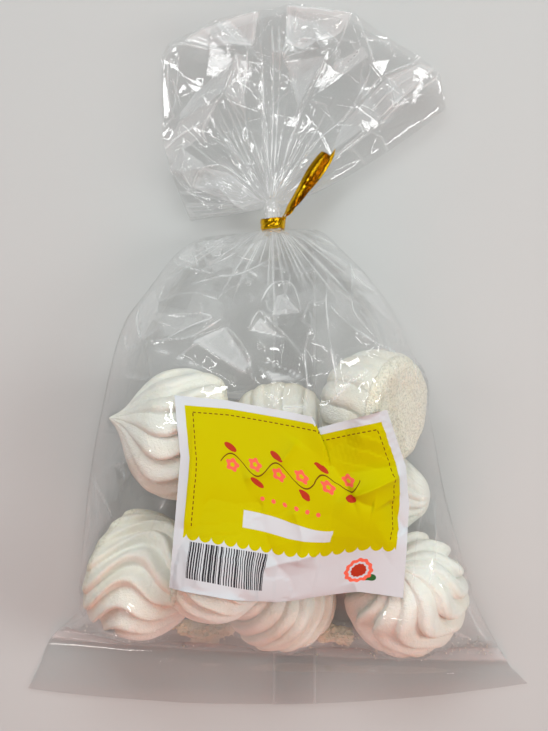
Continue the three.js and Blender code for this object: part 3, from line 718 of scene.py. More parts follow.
def film_folds(x, y):
    """Height of every fold of the front film, and the painted highlights along their crests."""
    sharp, crest = creases(x, y, FRONT_CREASES, 2.0)
    fan, fan_highlight = gathers(x, y, FAN_FROM, (-math.pi * 1.02, math.pi * 0.02), 78, 66.0, 12)
    net = facets(FRONT_FOLDS, x, y)
    small = crumple(x, y, FILM_AREA, 12.0, 21) * 0.9
    tiny = crumple(x, y, FILM_AREA, 5.0, 22) * 0.12
    cracks, crack_highlight = crackle(x, y, CRACK_AREA, 11.0, 25)
    upper = 0.22 + 0.78 * smooth(-16, 2, y)
    height = sharp + fan + net + (small + tiny) * upper + 1.1 * cracks * upper
    return height, np.maximum.reduce([crest, 0.7 * fan_highlight, 0.5 * crack_highlight * upper])


def panes(x, y, outlines):
    """Painted reflection on flat panes: each convex outline is whitened by its own share, soft-edged and
    brighter at its rim.
    """
    total = np.zeros(x.shape)
    for share, *corners in outlines:
        ring = np.array(corners, float)
        after = np.roll(ring, -1, axis=0)
        turning = np.sign(np.sum(ring[:, 0] * after[:, 1] - ring[:, 1] * after[:, 0]))
        inside = np.full(x.shape, 1e9)
        for start, end in zip(ring, after):
            ahead = (end - start) / np.hypot(*(end - start))
            inside = np.minimum(inside, turning * (ahead[0] * (y - start[1]) - ahead[1] * (x - start[0])))
        # Painted highlight along the rim of each pane.
        rim = 1.0 + 0.9 * cusp(inside, 1.6)
        total = np.maximum(total, share * smooth(-0.2, 0.9, inside) * rim)
    return total


def skirt_wave(x, y):
    """Ripple of the welded skirt: two sine waves along it and a few flat facets."""
    wave = 0.45 * (1 + np.sin(x / 9)) + 0.35 * (1 + np.sin(x / 23 + 1))
    return wave + 0.5 + 0.5 * crumple(x, y, SKIRT_AREA, 12.0, 31)


def front_skin(hold, rows, columns, slack):
    """Grid of points of the front film, from the neck over the cookies to the hem, and its whiteness.

    The stretched skin takes the folds away from the label, is pressed flat along the weld, never sinks into
    what it holds, and goes on as the rippled skirt. The film is clear and cloudier where it is bunched at the
    neck and along the weld; painted highlights lie along the crests of folds, and painted reflections on flat
    panes.
    """
    v = np.linspace(0, 1, rows)[:, None]
    u = column_places(columns, 0.5)[None, :]
    plan = bag_plan(u, v)
    x, y = plan[..., 0], plan[..., 1]
    seal_row = int(round(SEAL * (rows - 1)))
    lifted = upsampled(stretched_skin(hold, STRETCH_ROWS, columns, slack), (seal_row + 1, columns))
    bulge = arch(u) + 0 * v
    skirt = side_height(v) + bulge * (0.3 + skirt_wave(x, y) * smooth(SEAL, SEAL + WELD_EASE, v))
    z = np.empty_like(x)
    z[: seal_row + 1] = lifted
    z[seal_row:] = skirt[seal_row:]
    inward = np.clip(20 * (1 - np.abs(u)), 0, 1) + 0 * v
    off_label = 1 - label_mask(x, y)
    over_seal = 1 - smooth(SEAL - 0.05, SEAL, v)
    folds, crest = film_folds(x, y)
    z = z + folds * inward * off_label * over_seal
    above = SEAL - v
    band = smooth(-0.001, 0.0005, above) * (1 - smooth(WELD_BAND - 0.0005, WELD_BAND + 0.001, above)) + 0 * u
    edges = cusp(above, WELD_LINE) + cusp(above - WELD_BAND, WELD_LINE) + 0 * u
    flat = 1 - smooth(WELD_BAND, 2 * WELD_BAND, above) * np.ones_like(u)
    pressed = side_height(np.full_like(v, SEAL)) * np.abs(u) ** 4 + 1.0
    pressed = pressed + 0.25 * crumple(x, y, WELD_AREA, 9.0, 33)
    z = np.where(v < SEAL, z * (1 - flat) + np.minimum(z, pressed) * flat, z) + 0.35 * edges * inward
    z = np.where(v < SEAL, np.maximum(z, sample_map(hold, x, y)), z)
    bunched = cusp(np.hypot(x - NECK_X, y - 58.0), 9)
    # Painted glare: random facets of the upper body and the listed panes are whitened as if they mirrored the
    # lamps.
    painted_glare = 0.14 * np.maximum(0, crumple(x, y, FILM_AREA, 14.0, 24)) * smooth(-14, 4, y)
    painted_glare = np.maximum(painted_glare, panes(x, y, FRONT_GLARE_PANES))
    # Painted highlights along the crests and painted glare, kept off the label and the weld.
    soft = np.maximum(CREST_HIGHLIGHT * crest, painted_glare) * inward * off_label * over_seal
    lines = LINE_CLOUD * np.clip(edges, 0, 1)
    haze_and_glare = np.maximum.reduce([soft, NECK_CLOUD * bunched, WELD_CLOUD * band, lines])
    return joined(x, y, z), haze_and_glare


def back_skin(lowest, rows, columns):
    """Grid of the film that the bag lies on: flat, turned up at its sides, raised to the tie at the neck."""
    v = np.linspace(0, 1, rows)[:, None]
    u = column_places(columns, 0.8)[None, :]
    plan = bag_plan(u, v)
    x, y = plan[..., 0], plan[..., 1]
    edge = side_height(v)
    bulge = arch(u)
    turn_up = np.maximum(BACK_LEAST, edge * (1 - 1.25 * np.sqrt(1 - np.abs(u) ** 5)))
    turn_up = np.minimum(turn_up, np.maximum(BACK_LEAST, sample_map(lowest, x, y) - BACK_ROOM))
    neck_under = NECK_Z - NECK_RADIUS * bulge
    lift = smooth(0, 0.2, v)
    z = neck_under * (1 - lift) + turn_up * lift
    ripple = 0.5 * (1 + crumple(x, y, BACK_AREA, 16.0, 41)) * bulge
    room = smooth(2, 8, sample_map(lowest, x, y))
    fan, _ = gathers(x, y, FAN_FROM, (-math.pi, 0.0), 40, 60.0, 14)
    z = z + (ripple * room + np.abs(fan) * bulge) * smooth(0.1, 0.3, v)
    skirt = edge + bulge * (skirt_wave(x, y) * smooth(SEAL, SEAL + WELD_EASE, v) - 0.05)
    z = np.where(v >= SEAL, skirt, z)
    z[:, 0], z[:, -1] = edge[:, 0], edge[:, 0]
    return joined(x, y, z)


def neck_rows(loop, rows):
    """Rows of a narrow pleated tube from inside the mouth, through the tie, to the first row of the body."""
    t = np.linspace(0, 1, rows)[:, None]
    first = loop[0]
    angle = np.arctan2(first[:, 2] - NECK_Z, first[:, 0] - NECK_X)[None, :]
    ripple = 0.22 * np.sin(17 * angle) + 0.12 * np.sin(29 * angle + 1)
    radius = NECK_RADIUS - 0.9 + ripple + 0.6 * smooth(0.55, 1, t)
    x, z = NECK_X + radius * np.cos(angle), NECK_Z + radius * np.sin(angle)
    tube = np.stack([x, TUBE_Y - TUBE_LENGTH * t + 0 * angle, z], axis=-1)
    join = smooth(0.55, 1.0, t)[..., None]
    return (tube * (1 - join) + first[None] * join)[:-1]


SEAM_EDGES = (-2.0, 17.0)  # x of the lap's two edges
SEAM_COLUMNS, SEAM_FIRST_ROW = 14, 30
SEAM_LIFT = 0.22  # height of the lap over the back film


def seam_strip(back, left, right):
    """The glued lap of the back film: a narrow strip just above it, from under the neck to the hem."""
    x, y, z = (back[..., k] for k in range(3))
    places = np.linspace(left, right, SEAM_COLUMNS)
    rows = slice(SEAM_FIRST_ROW, None)
    return np.stack([
        np.stack([places, np.interp(places, rx, ry), np.interp(places, rx, rz) + SEAM_LIFT], axis=-1)
        for rx, ry, rz in zip(x[rows], y[rows], z[rows])
    ])


# --- Gathered mouth ------------------------------------------------------------------------------

# Corners of the flat facets of the gathered mouth: x, y and height over its middle plane.
MOUTH_FOLDS = (
    (-46, 136, 1.5), (-18, 133, 4), (-43, 104, 2), (-24, 116, 4), (-14, 103, -3), (-13, 98, -2),
    (-33, 120, -4), (-31, 94, -2), (-48, 110, 0), (-10, 151, 4.5), (-11, 137, -1), (-30, 143, -1),
    (-5, 131, -3), (-5, 107, -2), (2, 132, 3), (5, 154, 3), (0, 152, -2), (15, 148, -1), (17, 138, 4),
    (21, 132, 4.5), (11, 133, 0), (10, 109, 4), (8, 122, -3), (13, 115, 4), (33, 151, 3), (26, 140, -3),
    (38, 137, 2), (41, 132, 4), (30, 126, -3), (34, 112, 2), (27, 103, -3), (18, 100, 2), (62, 130, 3),
    (47, 124, 3), (52, 134, -3), (40, 117, -2), (69, 127, 5), (51, 111, 5), (39, 100, 4.5), (46, 104, -2),
    (60, 113, -2), (72, 112, 0), (24, 87, 3), (-42, 93, 1), (-43, 81, 5), (-38, 74, -3), (-49, 83, 1),
    (-32, 83, 5), (-25, 73, 4), (-19, 67, 1), (-28, 78, 1), (-20, 90, 2), (-12, 82, -2), (-24, 60, 0),
    (-3, 82, 2), (5, 94, 2), (-3, 70, 0), (-51, 132, 0), (-51, 96, 0), (-47, 82, 0), (-28, 148, 1),
    (52, 140, 0), (74, 110, 0), (40, 88, 0),
)
# Sharp folds of the mouth: height, then the points of the curve.
MOUTH_CREASES = (
    (1.5, (-48, 136), (-41, 137), (-29, 135), (-18, 133)),
    (1.5, (-18, 133), (-17, 124), (-15, 114), (-14, 103), (-13, 98)),
    (-1.2, (-18, 133), (-23, 125), (-33, 115), (-43, 104)),
    (1.4, (-43, 104), (-34, 109), (-24, 116)),
    (1.2, (-24, 116), (-19, 110), (-14, 103)),
    (1.0, (-24, 115), (-30, 106), (-33, 100), (-31, 94)),
    (1.6, (-46, 136), (-48, 130), (-48, 115), (-46, 106), (-43, 104)),
    (-0.8, (-44, 136), (-44, 124), (-46, 107)),
    (1.2, (-10, 151), (-11, 144), (-11, 137)),
    (1.2, (-25, 147), (-18, 139), (-11, 136)),
    (-1.0, (-22, 148), (-17, 143), (-12, 138)),
    (1.0, (-35, 145), (-26, 139), (-21, 135)),
    (1.0, (-13, 136), (-14, 122), (-15, 114)),
    (1.2, (-8, 152), (-7, 132), (-6, 107), (-4, 82), (-3, 68)),
    (1.0, (-3, 152), (-2, 132), (-2, 107), (-3, 82)),
    (-1.0, (0, 152), (1, 132), (0, 107), (-2, 73)),
    (1.3, (4, 154), (4, 141), (2, 132)),
    (1.3, (8, 155), (8, 145), (5, 136), (2, 131)),
    (1.4, (2, 130), (5, 135), (11, 140), (17, 138), (21, 133)),
    (1.3, (2, 130), (8, 133), (15, 135), (21, 133)),
    (1.3, (3, 130), (6, 122), (9, 110)),
    (1.3, (21, 132), (18, 124), (13, 115), (10, 109)),
    (-1.2, (22, 131), (18, 120), (13, 109)),
    (1.3, (33, 151), (30, 145), (26, 136), (23, 131)),
    (1.2, (10, 109), (9, 103), (5, 94), (1, 77), (-2, 68)),
    (1.1, (34, 150), (38, 141), (41, 132), (40, 124), (34, 112), (27, 103)),
    (-0.9, (38, 137), (32, 131), (27, 128), (25, 125)),
    (1.2, (62, 130), (47, 124), (40, 117), (32, 108), (13, 90), (0, 69)),
    (1.8, (69, 127), (51, 111), (39, 100), (24, 87), (7, 72)),
    (1.2, (66, 128), (51, 118), (41, 108)),
    (-1.2, (72, 124), (57, 114), (44, 102), (29, 90)),
    (1.3, (-42, 93), (-41, 87), (-43, 81)),
    (1.5, (-49, 83), (-43, 81), (-38, 75), (-36, 79), (-32, 83), (-26, 84)),
    (1.4, (-38, 74), (-33, 75), (-25, 73), (-19, 67), (-14, 65)),
    (1.2, (-32, 83), (-25, 84), (-18, 80), (-10, 73), (-4, 67)),
    (1.3, (-42, 81), (-40, 78), (-38, 74)),
    (0.7, (-25, 69), (-25, 65), (-24, 60)),
    (1.0, (-32, 99), (-20, 90), (-12, 82), (-5, 70)),
    (1.0, (-50, 91), (-42, 98), (-32, 103)),
    (1.0, (-12, 100), (-9, 90), (-5, 77), (-3, 68)),
    (0.9, (-17, 103), (-12, 93), (-7, 80), (-4, 69)),
)
# Flat panes of the mouth painted white as reflections of the lamps: share, then the corners.
MOUTH_GLARE_PANES = (
    (0.34, (-46.0, 136.0), (-32.6, 144.4), (-18.3, 149.0), (-7.8, 151.1), (-10.3, 137.7), (-12.4, 134.3),
     (-18.3, 133.0), (-30.9, 136.1)),
    (0.20, (-18.3, 133.0), (-14.1, 131.8), (-14.9, 107.4), (-23.3, 115.8)),
    (0.20, (-18.3, 132.6), (-23.3, 115.8), (-42.2, 104.4), (-43.5, 106.5), (-36.8, 116.6)),
    (0.32, (4.0, 154.5), (19.6, 153.6), (33.0, 150.7), (22.1, 131.8), (11.2, 134.7), (2.8, 130.9)),
    (0.24, (2.8, 130.5), (21.3, 131.8), (15.4, 120.8), (9.5, 109.1)),
    (0.22, (-48.6, 82.6), (-42.2, 92.2), (-31.7, 84.7), (-37.6, 74.6)),
    (0.30, (-37.6, 74.6), (-33.4, 83.8), (-20.8, 81.3), (-5.6, 67.8), (-15.7, 65.1)),
    (0.24, (24.2, 129.2), (37.3, 136.8), (40.2, 131.8), (23.8, 120.8)),
    (0.26, (47.4, 122.9), (62.5, 129.2), (69.2, 126.3), (51.6, 109.9)),
    (0.18, (47.4, 122.5), (51.6, 109.9), (23.0, 89.7), (28.0, 102.3)),
    (0.16, (-51.1, 91.4), (-43.5, 103.2), (-24.2, 114.1), (-31.7, 99.0), (-46.9, 85.5)),
)
PINCH = (-3.1, 66.5)  # where the bunched mouth is narrowest, just past the tie
MOUTH_Y, MOUTH_Z = 63.0, 8.6  # where the mouth leaves the tie, and the height of its middle plane
UPPER_LEAST, LOWER_LEAST = 1.4, 0.35  # least height of each of its sheets


def mouth_skin(rows, columns, upper):
    """One sheet of the gathered mouth, from row 0 at the tie to the open hem, and its whiteness.

    Each column leaves the tie, is pinched just past it and runs straight to the hem. Flat facets, sharp
    creases and gathers about the pinch give the height, and the two sheets meet at both side folds. The
    whiteness is real haze where the film is bunched at the pinch, painted highlights along the crests of
    folds and, on the upper sheet, painted reflections on flat panes.
    """
    across = np.linspace(0, 1, columns)[None, :]
    out = np.linspace(0, 1, rows)[:, None]
    hem = polyline(MOUTH_HEM[::-1], across)
    angle = math.pi * (1 - across)
    start = np.stack([NECK_X + 0.96 * NECK_RADIUS * np.cos(angle), MOUTH_Y + 0.3 * np.sin(angle)], axis=-1)
    pinch_y = 64.8 + 2.6 * np.sin(angle) ** 0.7 + 1.4 * across
    pinch = np.stack([PINCH[0] + 3.3 * np.cos(angle), pinch_y], axis=-1)
    reach = out**1.15
    straight = pinch + (hem - pinch) * np.clip((reach - 0.05) / 0.95, 0, 1)[..., None]
    plan = start + (straight - start) * smooth(0, 0.06, reach)[..., None]
    x = plan[..., 0]
    y = plan[..., 1] - 4.2 * 4 * out * (1 - out) * across**6
    fullness = np.sqrt(np.sin(math.pi * across)) + 0 * out
    half = fullness * ((3.4 + 3.6 * reach) + 0.8 * hump(reach, 0.03))
    middle = NECK_Z + (MOUTH_Z - NECK_Z) * smooth(0, 0.7, out)
    span = (-0.1 * math.pi, 1.1 * math.pi)
    fan, fan_highlight = gathers(x, y, PINCH, span, 84 if upper else 60, 74.0, 51 + upper)
    net = facets(MOUTH_FOLDS, x, y)
    if upper:
        sharp, crest = creases(x, y, MOUTH_CREASES, 2.0)
        cracks, crack_highlight = crackle(x, y, MOUTH_CRACK_AREA, 13.0, 59)
        crest = np.maximum(crest, 0.4 * crack_highlight)
        folds = 1.15 * net + sharp + 0.7 * fan + 0.2 * crumple(x, y, MOUTH_AREA, 14.0, 57) + 0.7 * cracks
    else:
        crest = 0 * x
        folds = -0.3 * net + 0.5 * fan + 0.9 * crumple(x, y, MOUTH_AREA, 17.0, 58)
    folds = folds * np.sin(math.pi * across) ** 0.35 * smooth(0.02, 0.12, out)
    z = middle + (half if upper else -half) + folds
    z = np.maximum(z, UPPER_LEAST if upper else LOWER_LEAST)
    z[:, 0] = z[:, -1] = middle[:, 0]
    bunched = cusp(np.hypot(x - PINCH[0], y - PINCH[1]), 11)
    # Painted reflections on the upper sheet's flat panes.
    mouth_glare = panes(x, y, MOUTH_GLARE_PANES) if upper else 0 * x
    # Painted highlights on crests and gathers, real haze at the pinch, and painted reflections on the panes.
    haze_and_glare = np.maximum.reduce([CREST_HIGHLIGHT * crest, FAN_HIGHLIGHT * fan_highlight, PINCH_CLOUD * bunched, mouth_glare])
    return joined(x, y, z), haze_and_glare


def around(front, back):
    """Front columns from left to right, then the back's inner columns from right to left, as one loop."""
    return np.concatenate([front, back[:, -2:0:-1]], axis=1)


# --- Materials -----------------------------------------------------------------------------------


class Field:
    """A number over a surface, worked out by Math nodes: the usual operators join two fields."""

    def __init__(self, tree, socket):
        self.tree = tree
        self.socket = socket

    def math(self, operation, *others):
        node = put(self.tree, "ShaderNodeMath", operation=operation)
        for socket, value in zip(node.inputs, (self, *others)):
            feed(self.tree, socket, value)
        return Field(self.tree, node.outputs[0])

    def __add__(self, other):
        return self.math("ADD", other)

    def __sub__(self, other):
        return self.math("SUBTRACT", other)

    def __mul__(self, other):
        return self.math("MULTIPLY", other)

    def below(self, limit):
        return self.math("LESS_THAN", limit)

    def above(self, limit):
        return self.math("GREATER_THAN", limit)

    def lowest(self, other):
        return self.math("MINIMUM", other)

    def highest(self, other):
        return self.math("MAXIMUM", other)

    def size(self):
        return self.math("ABSOLUTE")

    def length(self, other):
        return (self * self + other * other).math("SQRT")


def feed(tree, socket, value):
    """Links a field or a node's socket to an input, or sets the input to a number, vector or colour."""
    if isinstance(value, Field):
        value = value.socket
    if isinstance(value, bpy.types.NodeSocket):
        tree.links.new(value, socket)
    else:
        socket.default_value = (*value, 1) if socket.type == "RGBA" else value


def put(tree, kind, **values):
    """A new node; values name its settings, or its inputs where it has no such setting."""
    node = tree.nodes.new(kind)
    for name, value in values.items():
        if hasattr(node, name):
            setattr(node, name, value)
        else:
            feed(tree, node.inputs[name.replace("_", " ")], value)
    return node


def new_material(name):
    """An empty material and its node tree."""
    material = bpy.data.materials.new(name)
    material.use_nodes = True
    material.node_tree.nodes.clear()
    return material, material.node_tree


def finish_with(tree, shader):
    """Makes a shader the material's surface."""
    put(tree, "ShaderNodeOutputMaterial", Surface=shader.outputs[0])


def object_place(tree):
    """Place on the piece, in metres."""
    return put(tree, "ShaderNodeTexCoord").outputs["Object"]


def kept_field(tree, name):
    """The number that the piece keeps for each point."""
    return Field(tree, put(tree, "ShaderNodeAttribute", attribute_name=name).outputs["Fac"])


def noise(tree, scale, detail, roughness=0.55):
    """Soft noise from 0 to 1."""
    place = object_place(tree)
    node = put(tree, "ShaderNodeTexNoise", Vector=place, Scale=scale, Detail=detail, Roughness=roughness)
    return Field(tree, node.outputs["Fac"])


def ramp(tree, value, stops):
    """Colours blended along a value; each stop is a place and a colour."""
    node = put(tree, "ShaderNodeValToRGB", Fac=value)
    for element, (place, colour) in zip(node.color_ramp.elements, stops):
        element.position = place
        element.color = (*colour, 1)
    return node.outputs["Color"]


def blended(tree, share, under, over):
    """A colour laid over another by a share: sockets 6 and 7 of the Mix node, and 2 of what it gives."""
    node = put(tree, "ShaderNodeMix", data_type="RGBA")
    for place, value in ((0, share), (6, under), (7, over)):
        feed(tree, node.inputs[place], value)
    return node.outputs[2]


def mixed(tree, share, first, second):
    """Two shaders, with a share of the second."""
    node = put(tree, "ShaderNodeMixShader", Fac=share)
    for socket, shader in zip(node.inputs[1:], (first, second)):
        feed(tree, socket, shader.outputs[0])
    return node


def bump(tree, height, strength, distance):
    """Normal of a relief of the height."""
    return put(tree, "ShaderNodeBump", Strength=strength, Distance=distance, Height=height).outputs["Normal"]


def grain_group():
    """Relief that several materials share: broad waves with finer grit, as one height from 0 to 1."""
    name = "fine_grain"
    if name in bpy.data.node_groups:
        return bpy.data.node_groups[name]
    group = bpy.data.node_groups.new(name, "ShaderNodeTree")
    group.interface.new_socket(name="Place", in_out="INPUT", socket_type="NodeSocketVector")
    for label in ("Broad Scale", "Grit Scale", "Grit Share"):
        group.interface.new_socket(name=label, in_out="INPUT", socket_type="NodeSocketFloat")
    group.interface.new_socket(name="Height", in_out="OUTPUT", socket_type="NodeSocketFloat")
    place, broad_scale, grit_scale, share = group.nodes.new("NodeGroupInput").outputs[:4]
    waves = put(group, "ShaderNodeTexNoise", Vector=place, Scale=broad_scale, Detail=3.0, Roughness=0.55)
    cells = put(group, "ShaderNodeTexVoronoi", Vector=place, Scale=grit_scale)
    broad, grit, share = (Field(group, s) for s in (waves.outputs["Fac"], cells.outputs["Distance"], share))
    put(group, "NodeGroupOutput", Height=broad * (share * -1.0 + 1.0) + grit * share)
    return group


def grain(tree, broad, grit, share):
    """Height of the shared relief at a material's own scales."""
    node = put(
        tree, "ShaderNodeGroup", node_tree=grain_group(),
        Place=object_place(tree), Broad_Scale=broad, Grit_Scale=grit, Grit_Share=share,
    )
    return Field(tree, node.outputs["Height"])


def film_material(settings):
    """Clear glossy film: light passes straight through, more of it is mirrored the flatter it is seen, and a
    little is scattered white, most where the film is bunched or welded; the same white also paints highlights
    along fold crests and reflections on flat panes."""
    material, tree = new_material("clear_film")
    normal = bump(tree, grain(tree, 120.0, 420.0, 0.2), 0.08, 0.0009)
    facing = put(tree, "ShaderNodeLayerWeight", Blend=0.5, Normal=normal).outputs["Facing"]
    share = Field(tree, facing).math("POWER", 3.2) * (0.9 - settings.reflectance) + settings.reflectance
    # The kept field mixes real haze with painted highlights and painted reflections, all drawn as white
    # scatter.
    haze_and_glare_share = (kept_field(tree, "haze_and_glare") * 0.7 + settings.haze).lowest(0.75)
    clear = put(tree, "ShaderNodeBsdfTransparent", Color=(0.98, 0.98, 0.98))
    haze = put(tree, "ShaderNodeBsdfDiffuse", Color=(0.93, 0.93, 0.94))
    gloss = put(tree, "ShaderNodeBsdfGlossy", Roughness=settings.roughness, Color=(1, 1, 1), Normal=normal)
    finish_with(tree, mixed(tree, share, mixed(tree, haze_and_glare_share, clear, haze), gloss))
    return material


def meringue_material(name, light, dark, toast_and_foot_shade, grit):
    """Dry meringue: matt and sandy, mottled with cream in random patches, and toasted where its kept field is
    high, on the base and at the foot; the foot's tint is partly painted warm shade.
    """
    material, tree = new_material(name)
    toast_and_shade = kept_field(tree, "toast_and_foot_shade")
    flat_base = ((toast_and_shade - 0.42) * 4.0).highest(0.06).lowest(1.0)
    speckle = noise(tree, 520.0, 3.0) * 1.2 + 0.4
    pits = (noise(tree, 950.0, 2.0, 0.7) - 0.5) * 6.0
    mottled = ramp(tree, noise(tree, 60.0, 3.0), ((0.3, dark), (0.62, light)))
    toasted = blended(tree, (toast_and_shade * speckle).lowest(1.0), mottled, toast_and_foot_shade)
    pitted = (flat_base * pits).highest(0.0).lowest(0.5)
    colour = blended(tree, pitted, toasted, [0.58 * tone for tone in toast_and_foot_shade])
    relief = grain(tree, 620.0, 1500.0, grit) * (flat_base * 1.4 + 1.0)
    shader = put(
        tree, "ShaderNodeBsdfPrincipled", Base_Color=colour, Roughness=0.7, Specular_IOR_Level=0.3,
        Subsurface_Weight=0.3, Subsurface_Radius=(1.0, 0.8, 0.62), Subsurface_Scale=0.0016,
        Normal=bump(tree, relief, 0.75, 0.0007),
    )
    finish_with(tree, shader)
    return material


def foil_material(settings):
    """Gold foil band: bright metal, painted darker brown where its painted shade field is high, patchy and
    finely crinkled.
    """
    material, tree = new_material("gold_foil")
    # Painted shade: the kept field and noise blend the gold towards the darker colour.
    shade_share = kept_field(tree, "amber_shade") + (noise(tree, 420.0, 2.0) - 0.5) * 1.5
    colour = ramp(tree, shade_share, ((0.34, settings.gold), (0.64, settings.amber_shade)))
    normal = bump(tree, grain(tree, 650.0, 1700.0, 0.3), 0.5, 0.0005)
    finish_with(tree, put(
        tree, "ShaderNodeBsdfPrincipled", Base_Color=colour, Roughness=0.17, Metallic=1.0, Normal=normal
    ))
    return material


# --- Label print: flat lengths in millimetres from the label's upper left corner -----------------

PAPER = {"width": 97.0, "height": 80.0, "uv_unit": 100.0}
# Boxes are left, top, right and bottom. The rosette and the sprig are a centre, a radius, a number of petals
# and their depth as a share of the radius.
PRINT = {
    "off_left": 0.7, "field_inset": 4.5, "field_top": 3.8, "field_bottom": 56.3,
    "scallop": 5.1, "scallop_depth": 2.5,
    "stitch_inset": 7.6, "stitch_top": 6.4, "stitch_start": 6.3, "stitch_bottom": 53.0,
    "stitch_width": 0.45, "stitch_pitch": 2.25, "stitch_share": 0.6,
    "bar_pitch": 1.02, "bars": (6.8, 59.3, 39.5, 74.2), "band": (27.3, 43.2, 64.3, 50.2),
    "dots_x": 45.5, "dots_y": 37.2, "dots_half": 13.2, "dot_pitch": 4.6, "dot_radius": 0.9,
    "rosette": (78.5, 68.0, 5.6, 12.0, 0.05), "sprig": (82.7, 71.4, 2.3, 2.0, 0.35),
}
# Garland of the print: its height, middle and half length, its vine's wave length, wave depth and half width.
# For its leaves and blossoms: how far they stand off the middle line, half length, half width, slant, and
# the depth of the petals.
GARLAND = {
    "y": 25.0, "x": 46.0, "half": 29.0, "wave": 19.3, "depth": 3.6, "thick": 0.3,
    "leaf": (6.2, 3.4, 1.5, 0.6, 0.0), "blossom": (-0.9, 2.5, 2.5, 0.0, 0.16),
}


def label_material(settings):
    """Printed paper: a yellow field with a scalloped foot, stitches, a bare band, bars and a garland."""
    material, tree = new_material("label_paper")
    flat = put(tree, "ShaderNodeUVMap", uv_map="paper").outputs[0]
    parts = put(tree, "ShaderNodeSeparateXYZ", Vector=flat)
    x, y = (Field(tree, parts.outputs[k]) * PAPER["uv_unit"] for k in (0, 1))
    from_side = (x + PRINT["off_left"]).lowest(x * -1.0 + PAPER["width"])

    def box(left, top, right, bottom):
        """1 inside an upright rectangle."""
        within_x = (x - (left + right) / 2).size().below((right - left) / 2)
        within_y = (y - (top + bottom) / 2).size().below((bottom - top) / 2)
        return within_x * within_y

    def ring(cx, cy, radius, petals, wave):
        """Distance from a centre over that of a petalled outline: below 1 inside it."""
        dx, dy = x - cx, y - cy
        angle = dy.math("ARCTAN2", dx)
        outline = (angle * petals).math("COSINE") * wave + 1.0
        return dx.length(dy).math("DIVIDE", outline * radius)

    scallop = (x * (math.pi / PRINT["scallop"])).math("SINE").size().math("SQRT") * PRINT["scallop_depth"]
    field = from_side.above(PRINT["field_inset"]) * y.above(PRINT["field_top"])
    field = field * (y - scallop).below(PRINT["field_bottom"])

    half, inset, pitch = PRINT["stitch_width"] / 2, PRINT["stitch_inset"], PRINT["stitch_pitch"]

    def dashes(along):
        """1 on the stitches of a line, 0 between them."""
        return along.math("FLOORED_MODULO", pitch).below(pitch * PRINT["stitch_share"])

    sides = (from_side - inset).size().below(half) * y.above(PRINT["stitch_start"])
    sides = sides * dashes(y) * y.below(PRINT["stitch_bottom"])
    top = (y - PRINT["stitch_top"]).size().below(half) * from_side.above(inset) * dashes(x)

    cells = x * (1 / PRINT["bar_pitch"])
    cell = cells.math("FLOOR")
    chance = put(tree, "ShaderNodeTexWhiteNoise", noise_dimensions="1D", W=cell)
    broad = Field(tree, chance.outputs["Value"]) * 0.62 + 0.26
    bars = box(*PRINT["bars"]) * (cells - cell - broad).below(0.0)

    along = x - GARLAND["x"]
    reach = along.size().below(GARLAND["half"])
    turn = 2 * math.pi / GARLAND["wave"]
    bend = (along * turn).math("SINE") * GARLAND["depth"]
    vine = (y - GARLAND["y"] - bend).size().below(GARLAND["thick"]) * reach
    cycle = GARLAND["wave"] / 2
    step = (along * (1 / cycle)).math("FLOOR")
    within = along - step * cycle - cycle / 2
    side = ((step + 0.5) * math.pi).math("SINE")

    def in_bends(off, long, tall, slant, petals):
        """Distance from an oval in each bend of the vine, over its size: below 1 inside it."""
        up = y - GARLAND["y"] - side * off
        u, v = within * (1 / long) + up * (slant / long), up * (1 / tall) - within * (slant / tall)
        petal = (v.math("ARCTAN2", u) * 5.0).math("COSINE") * petals + 1.0
        return u.length(v).math("DIVIDE", petal)

    blossom = in_bends(*GARLAND["blossom"])
    leaf = in_bends(*GARLAND["leaf"])
    within_dot = x.math("FLOORED_MODULO", PRINT["dot_pitch"]) - PRINT["dot_pitch"] / 2
    dots = ((y - PRINT["dots_y"]) * (1 / PRINT["dot_radius"])).length(within_dot * (1 / PRINT["dot_radius"]))
    rosette = ring(*PRINT["rosette"])

    colour = settings.paper
    for mask, ink in (
        (field, settings.yellow),
        (sides.highest(top), settings.brown),
        (box(*PRINT["band"]), settings.paper),
        (bars, settings.black),
        (vine, settings.brown),
        (leaf.below(1.0) * reach, settings.red),
        (blossom.below(1.0) * reach, settings.coral),
        (blossom.below(0.35) * reach, settings.yellow),
        (dots.below(1.0) * (x - PRINT["dots_x"]).size().below(PRINT["dots_half"]), settings.coral),
        (ring(*PRINT["sprig"]).below(1.0), settings.green),
        (rosette.below(1.0), settings.coral),
        (rosette.below(0.72), settings.paper),
        (rosette.below(0.55), settings.red),
    ):
        colour = blended(tree, mask, colour, ink)
    normal = bump(tree, grain(tree, 500.0, 1800.0, 0.4), 0.15, 0.0002)
    finish_with(tree, put(
        tree, "ShaderNodeBsdfPrincipled",
        Base_Color=colour, Roughness=0.5, Specular_IOR_Level=0.07, Normal=normal
    ))
    return material


# --- Label shape ---------------------------------------------------------------------------------

# Plan line where the label's left panel folds over its right one, from the top edge down.
LABEL_FOLD = ((14.4, -24.7), (21.6, -43.5), (21.5, -62.0), (17.5, -81.0), (13.4, -99.8))
# How far the right panel's corner lies under the left one, and how far down that goes.
TUCK, TUCK_LENGTH = (5.0, 6.3), 0.27
LEFT_SHARE = 0.6  # share of the bottom edge, and of the columns, that the left panel takes
TURN_COLUMNS = 6  # columns of the paper's turn back under the fold
SAG = 0.037  # how far the middle of the right edge hangs, as a share of the height
SPAN_PASSES = 900  # blurring of the film below, so that the paper spans its hollows
PAPER_LIFT = 1.7  # height of the paper over the film's mean height
# Height, middle and width of the right panel's bulge.
SWELL, SWELL_X, SWELL_Y, SWELL_SPREAD = 5.0, 36.0, -64.0, 17.0
FOLD_SHARE, FOLD_SPREAD = 0.66, 0.18  # place of the fold across the paper, and how far its pull reaches
